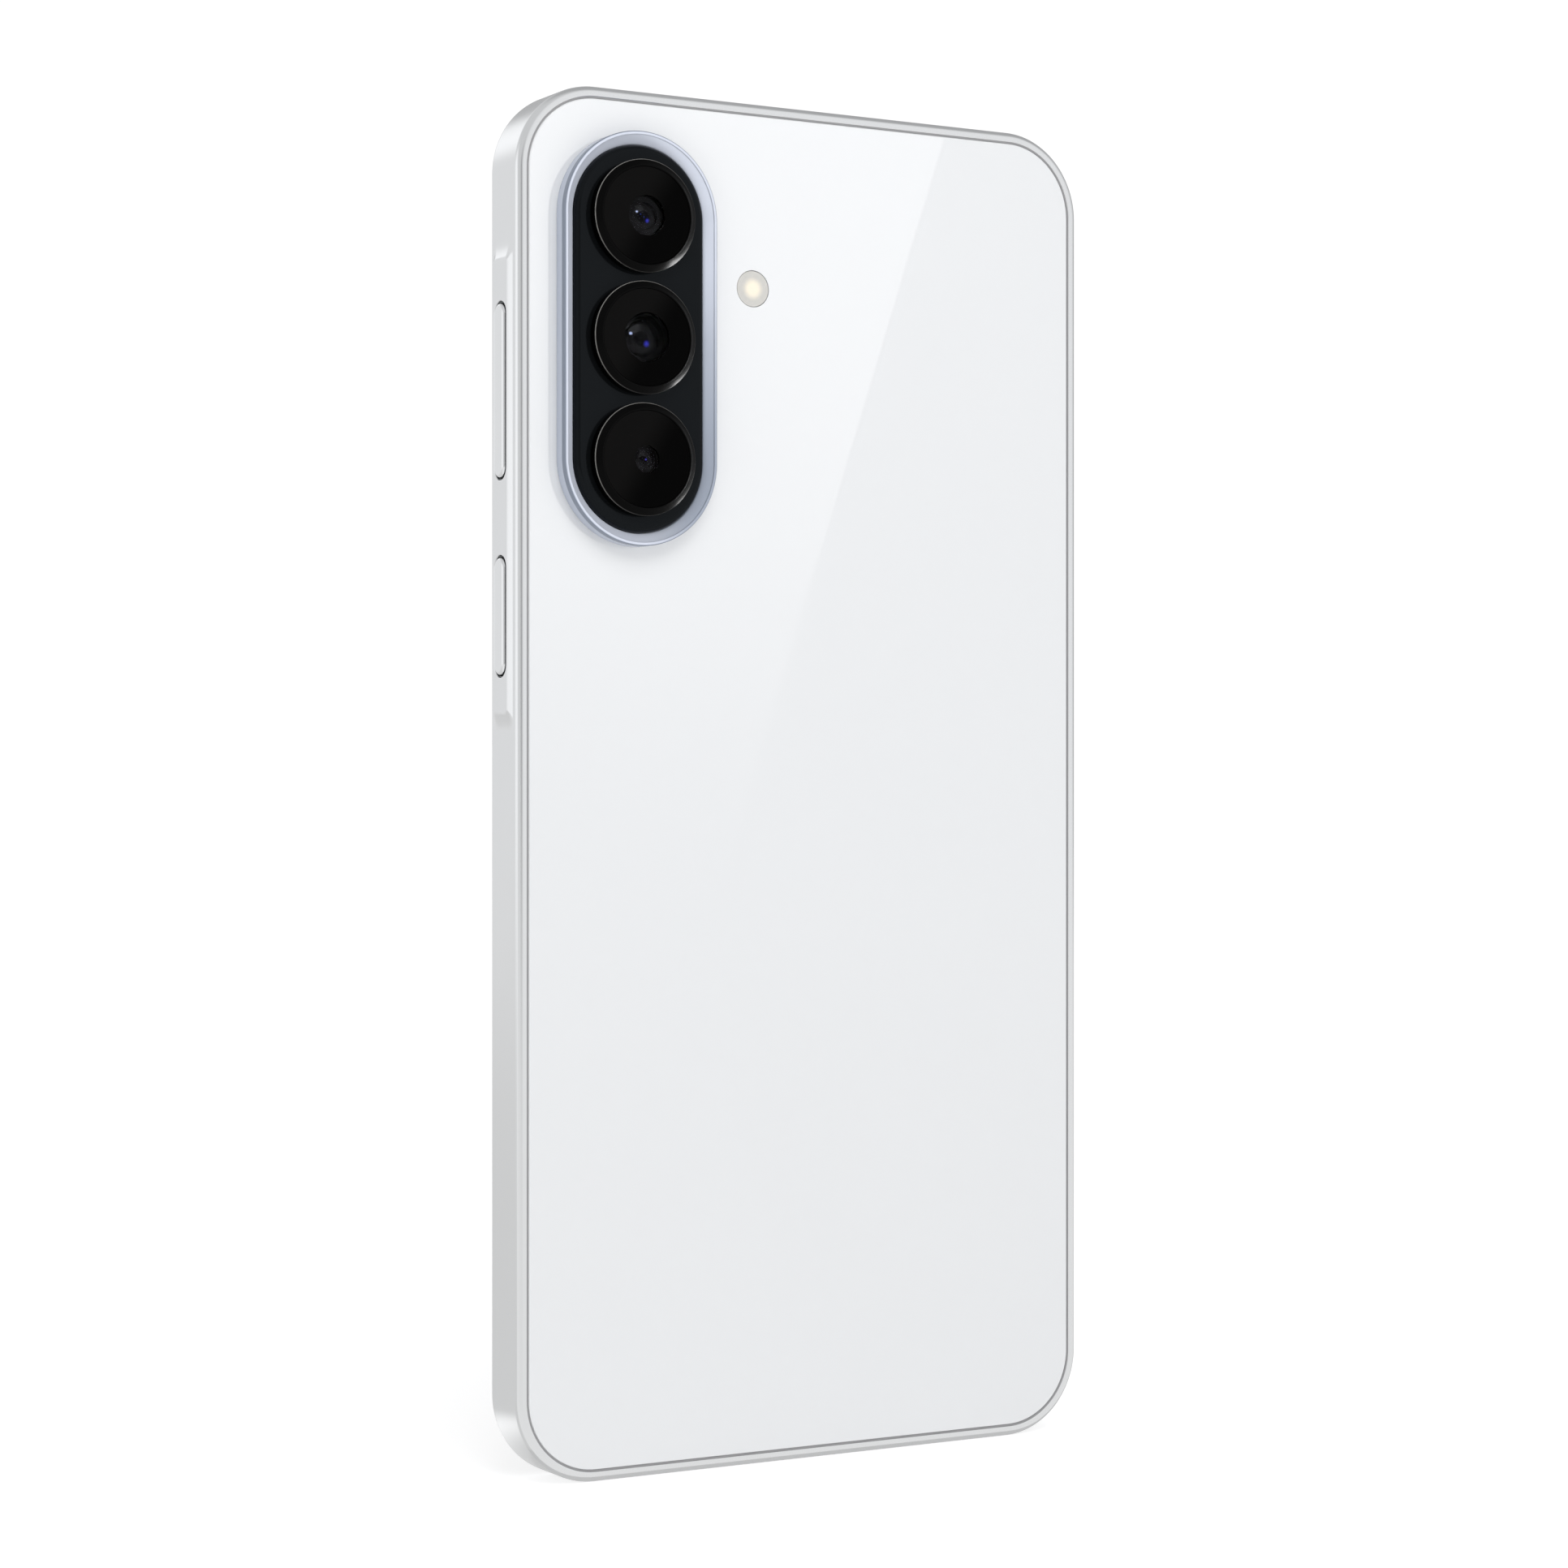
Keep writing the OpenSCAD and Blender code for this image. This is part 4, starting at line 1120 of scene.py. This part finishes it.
# ---------- Studio, in metres ----------

WIDE = (-4, 4)
GLOSS_FLOOR = [
    # name, x and y limits, level, glow near the phone and far from it
    ("floor_front", WIDE, (-4, 0.004), 0.00004, 0.7, 0.84),
    ("floor_back", WIDE, (0.004, 4), 0.00004, 0.86, 0.9),
    ("floor_under", (-0.045, 0.04), (-0.0045, 0.0045), 0.00006, 0.6, 0.6),
]
GLOW_CHANGES = (0.25, 1.6)
FLOOR_THINS = (0.5, 3.4)
BACKDROP_R = 3.5

WORLD_BASE = 0.68
GLOWS = [
    # direction, degrees of the full glow, degrees where it ends, strength
    ((-0.50, 0.86, 0.10), 10, 45, 0.22),
    ((0.98, -0.15, 0.0), 14, 34, 0.4),
    ((0.50, -0.87, 0.10), 20, 42, 0.14),
    ((0.20, -0.87, 0.47), 4, 16, 0.34),
    ((-0.42, -0.86, 0.38), 12, 28, -0.2),
    ((0.15, 0.98, 0.0), 8, 24, -0.34),
    ((-0.86, -0.50, 0.0), 12, 35, -0.28),
    ((-0.45, -0.05, 0.88), 22, 48, -0.24),
]


def stage_material(name, strength, base=0.0):
    """Matt surface of the stage, which also glows evenly."""
    return principled(name, {
        "Base Color": (base, base, base, 1),
        "Roughness": 0.9,
        "Specular IOR Level": 0.0,
        "Emission Color": (1, 1, 1, 1),
        "Emission Strength": strength,
    })


def stage_object(name, data, material):
    data.materials.append(material)
    made = bpy.data.objects.new(name, data)
    bpy.context.scene.collection.objects.link(made)
    return made


def stage_card(name, xs, ys, level, material):
    """Level rectangle."""
    corners = [(xs[0], ys[0], level), (xs[1], ys[0], level), (xs[1], ys[1], level), (xs[0], ys[1], level)]
    data = bpy.data.meshes.new(name)
    data.from_pydata(corners, [], [(0, 1, 2, 3)])
    return stage_object(name, data, material)


def seen_only_by(obj, camera=False, glossy=False):
    obj.visible_camera = camera
    obj.visible_glossy = glossy
    for ray in ("diffuse", "transmission", "volume_scatter", "shadow"):
        setattr(obj, "visible_" + ray, False)


def make_floor():
    """Pale floor out to the backdrop, with patches over it that only the gloss of the phone picks up."""
    seen = stage_card("floor", WIDE, WIDE, 0, stage_material("floor_paint", 0.6, 0.72))
    seen.visible_glossy = False
    for name, xs, ys, level, near, far in GLOSS_FLOOR:
        material = stage_material(name + "_glow", near)
        fade_with_distance(material, near, far)
        seen_only_by(stage_card(name, xs, ys, level, material), glossy=True)


def fade_with_distance(material, near, far):
    """Glow that changes from the phone outwards, on a surface that thins out to nothing far away."""
    tree = material.node_tree
    place = add_node(tree, "ShaderNodeTexCoord", {}).outputs["Object"]
    distance = add_node(tree, "ShaderNodeVectorMath", {0: place}, operation="LENGTH").outputs["Value"]
    shader = tree.nodes["Principled BSDF"]
    tree.links.new(ramp(tree, distance, *GLOW_CHANGES, near, far), shader.inputs["Emission Strength"])
    clear = add_node(tree, "ShaderNodeBsdfTransparent", {}).outputs[0]
    inputs = {0: ramp(tree, distance, *FLOOR_THINS), 1: shader.outputs[0], 2: clear}
    thinned = add_node(tree, "ShaderNodeMixShader", inputs).outputs[0]
    tree.links.new(thinned, tree.nodes["Material Output"].inputs["Surface"])


def make_backdrop():
    """White surround that only the camera sees, so that it doesn't change the light."""
    ball = bmesh.new()
    bmesh.ops.create_icosphere(ball, subdivisions=3, radius=BACKDROP_R)
    data = bpy.data.meshes.new("backdrop")
    ball.to_mesh(data)
    ball.free()
    seen_only_by(stage_object("backdrop", data, stage_material("backdrop_paint", 1.05)), camera=True)


def area_light(name, place, target, size, power):
    data = bpy.data.lights.new(name, "AREA")
    data.shape = "RECTANGLE"
    data.size, data.size_y = size
    data.energy = power
    light = bpy.data.objects.new(name, data)
    light.location = place
    aim = Vector(target) - Vector(place)
    light.rotation_euler = aim.to_track_quat("-Z", "Y").to_euler()
    light.visible_camera = False
    bpy.context.scene.collection.objects.link(light)
    return light


def shape_light(light, low, high, round_edges=False):
    """Fades an area light along its height, or from its middle towards its edges."""
    light.data.use_nodes = True
    tree = light.data.node_tree
    place = add_node(tree, "ShaderNodeNewGeometry", {}).outputs["Parametric"]
    if round_edges:
        inputs = {0: place, 1: (0.5, 0.5, 0)}
        reach = add_node(tree, "ShaderNodeVectorMath", inputs, operation="DISTANCE").outputs["Value"]
    else:
        reach = add_node(tree, "ShaderNodeSeparateXYZ", {0: place}).outputs["Y"]
    tree.links.new(ramp(tree, reach, low, high), tree.nodes["Emission"].inputs["Strength"])


def only_for(light, name, pieces):
    """Keeps a light for the gloss of a few pieces."""
    receivers = bpy.data.collections.new(name)
    for piece in pieces:
        receivers.objects.link(piece)
    light.light_linking.receiver_collection = receivers
    light.visible_diffuse = False


def make_streak(back_glass):
    """Long softbox whose slanting edge shows as the soft streak across the back glass, fading downwards."""
    forward = Vector((-0.5014, 0.8652, 0))
    side = Vector((0.8652, 0.5014, 0))
    up = Vector((0, 0, 1))
    slant = math.radians(16.6)
    along = up * math.cos(slant) - side * math.sin(slant)
    across = side * math.cos(slant) + up * math.sin(slant)
    width = 0.12
    height = 0.42
    edge = forward * 0.6 - side * 0.0137 + up * 0.1762
    center = edge + across * (width / 2) + along * 0.03
    light = area_light("streak_softbox", center, center - forward, (width, height), 0.09)
    turned = Matrix((-across, along, forward)).transposed().to_4x4()
    light.matrix_world = Matrix.Translation(center) @ turned
    shape_light(light, 0.08, 0.55)
    only_for(light, "streak_receivers", [back_glass])


def make_corner_card(shell):
    """Small card on the floor that lights the lower key-side corner of the frame."""
    place = Vector((0.041, -0.0165, 0.0002))
    light = area_light("corner_card", place, place + Vector((0, 0, 1)), (0.028, 0.026), 0.00095)
    shape_light(light, 0.5, 0.0, round_edges=True)
    only_for(light, "corner_receivers", [shell])


def make_world():
    """Even studio light with a few areas that are softly brighter or darker."""
    world = bpy.data.worlds.new("studio")
    bpy.context.scene.world = world
    world.use_nodes = True
    tree = world.node_tree
    outwards = add_node(tree, "ShaderNodeTexCoord", {}).outputs["Generated"]
    total = WORLD_BASE
    for toward, inner, outer, strength in GLOWS:
        inputs = {0: outwards, 1: Vector(toward).normalized()}
        nearness = add_node(tree, "ShaderNodeVectorMath", inputs, operation="DOT_PRODUCT").outputs["Value"]
        low, high = math.cos(math.radians(outer)), math.cos(math.radians(inner))
        glow = ramp(tree, nearness, low, high, 0.0, strength)
        total = add_node(tree, "ShaderNodeMath", {0: glow, 1: total}, operation="ADD").outputs[0]
    background = tree.nodes["Background"]
    background.inputs["Color"].default_value = (0.985, 0.99, 1.0, 1)
    tree.links.new(total, background.inputs["Strength"])


def make_lamps(trims):
    """A soft key above the back of the phone, and a lamp that only the lens trims pick up."""
    key = area_light("key_softbox", (0.08, 0.32, 0.4), (0, 0, 0.08), (0.3, 0.25), 0.78)
    key.visible_glossy = False
    cameras = Vector((CAM_X, Y_RIDGE, CAM_Z)) * MM
    toward = Vector((-0.87, 0.41, -0.27))
    rim = area_light("rim_lamp", cameras + toward * 0.3, cameras, (0.1, 0.16), 3.6)
    only_for(rim, "lens_rims", trims)


def make_camera():
    data = bpy.data.cameras.new("camera")
    data.lens = 80.337
    data.sensor_width = 36
    data.clip_start = 0.01
    camera = bpy.data.objects.new("camera", data)
    camera.location = (0.214594, 0.367818, 0.08145)
    camera.rotation_euler = (math.radians(90), 0, math.radians(149.910))
    bpy.context.scene.collection.objects.link(camera)
    bpy.context.scene.camera = camera


# ---------- Build ----------

def build_phone():
    """Makes every piece. Gives the frame, the back glass and the lens trims, which have their own lights."""
    finish_cad_nodes()
    shell = frame_piece()
    seal_piece("back_rim_seal", Y_BACK, 1)
    seal_piece("front_rim_seal", -Y_BACK, -1)
    back_glass = back_piece()
    front_piece()
    bezel_piece()
    window_piece()
    trims = []
    for lens in LENSES:
        trims.append(trim_piece(lens))
        cover_piece(lens)
        clear_piece(lens)
        element_piece(lens)
    flash_piece()
    front_camera_piece()
    earpiece_piece()
    key_piece("power_key", [0])
    key_piece("volume_key", [-6.5, 6.5])
    return shell, back_glass, trims


def build_studio(shell, back_glass, trims):
    make_camera()
    make_floor()
    make_backdrop()
    make_streak(back_glass)
    make_corner_card(shell)
    make_world()
    make_lamps(trims)
    bpy.context.scene.view_settings.view_transform = "Standard"


build_studio(*build_phone())
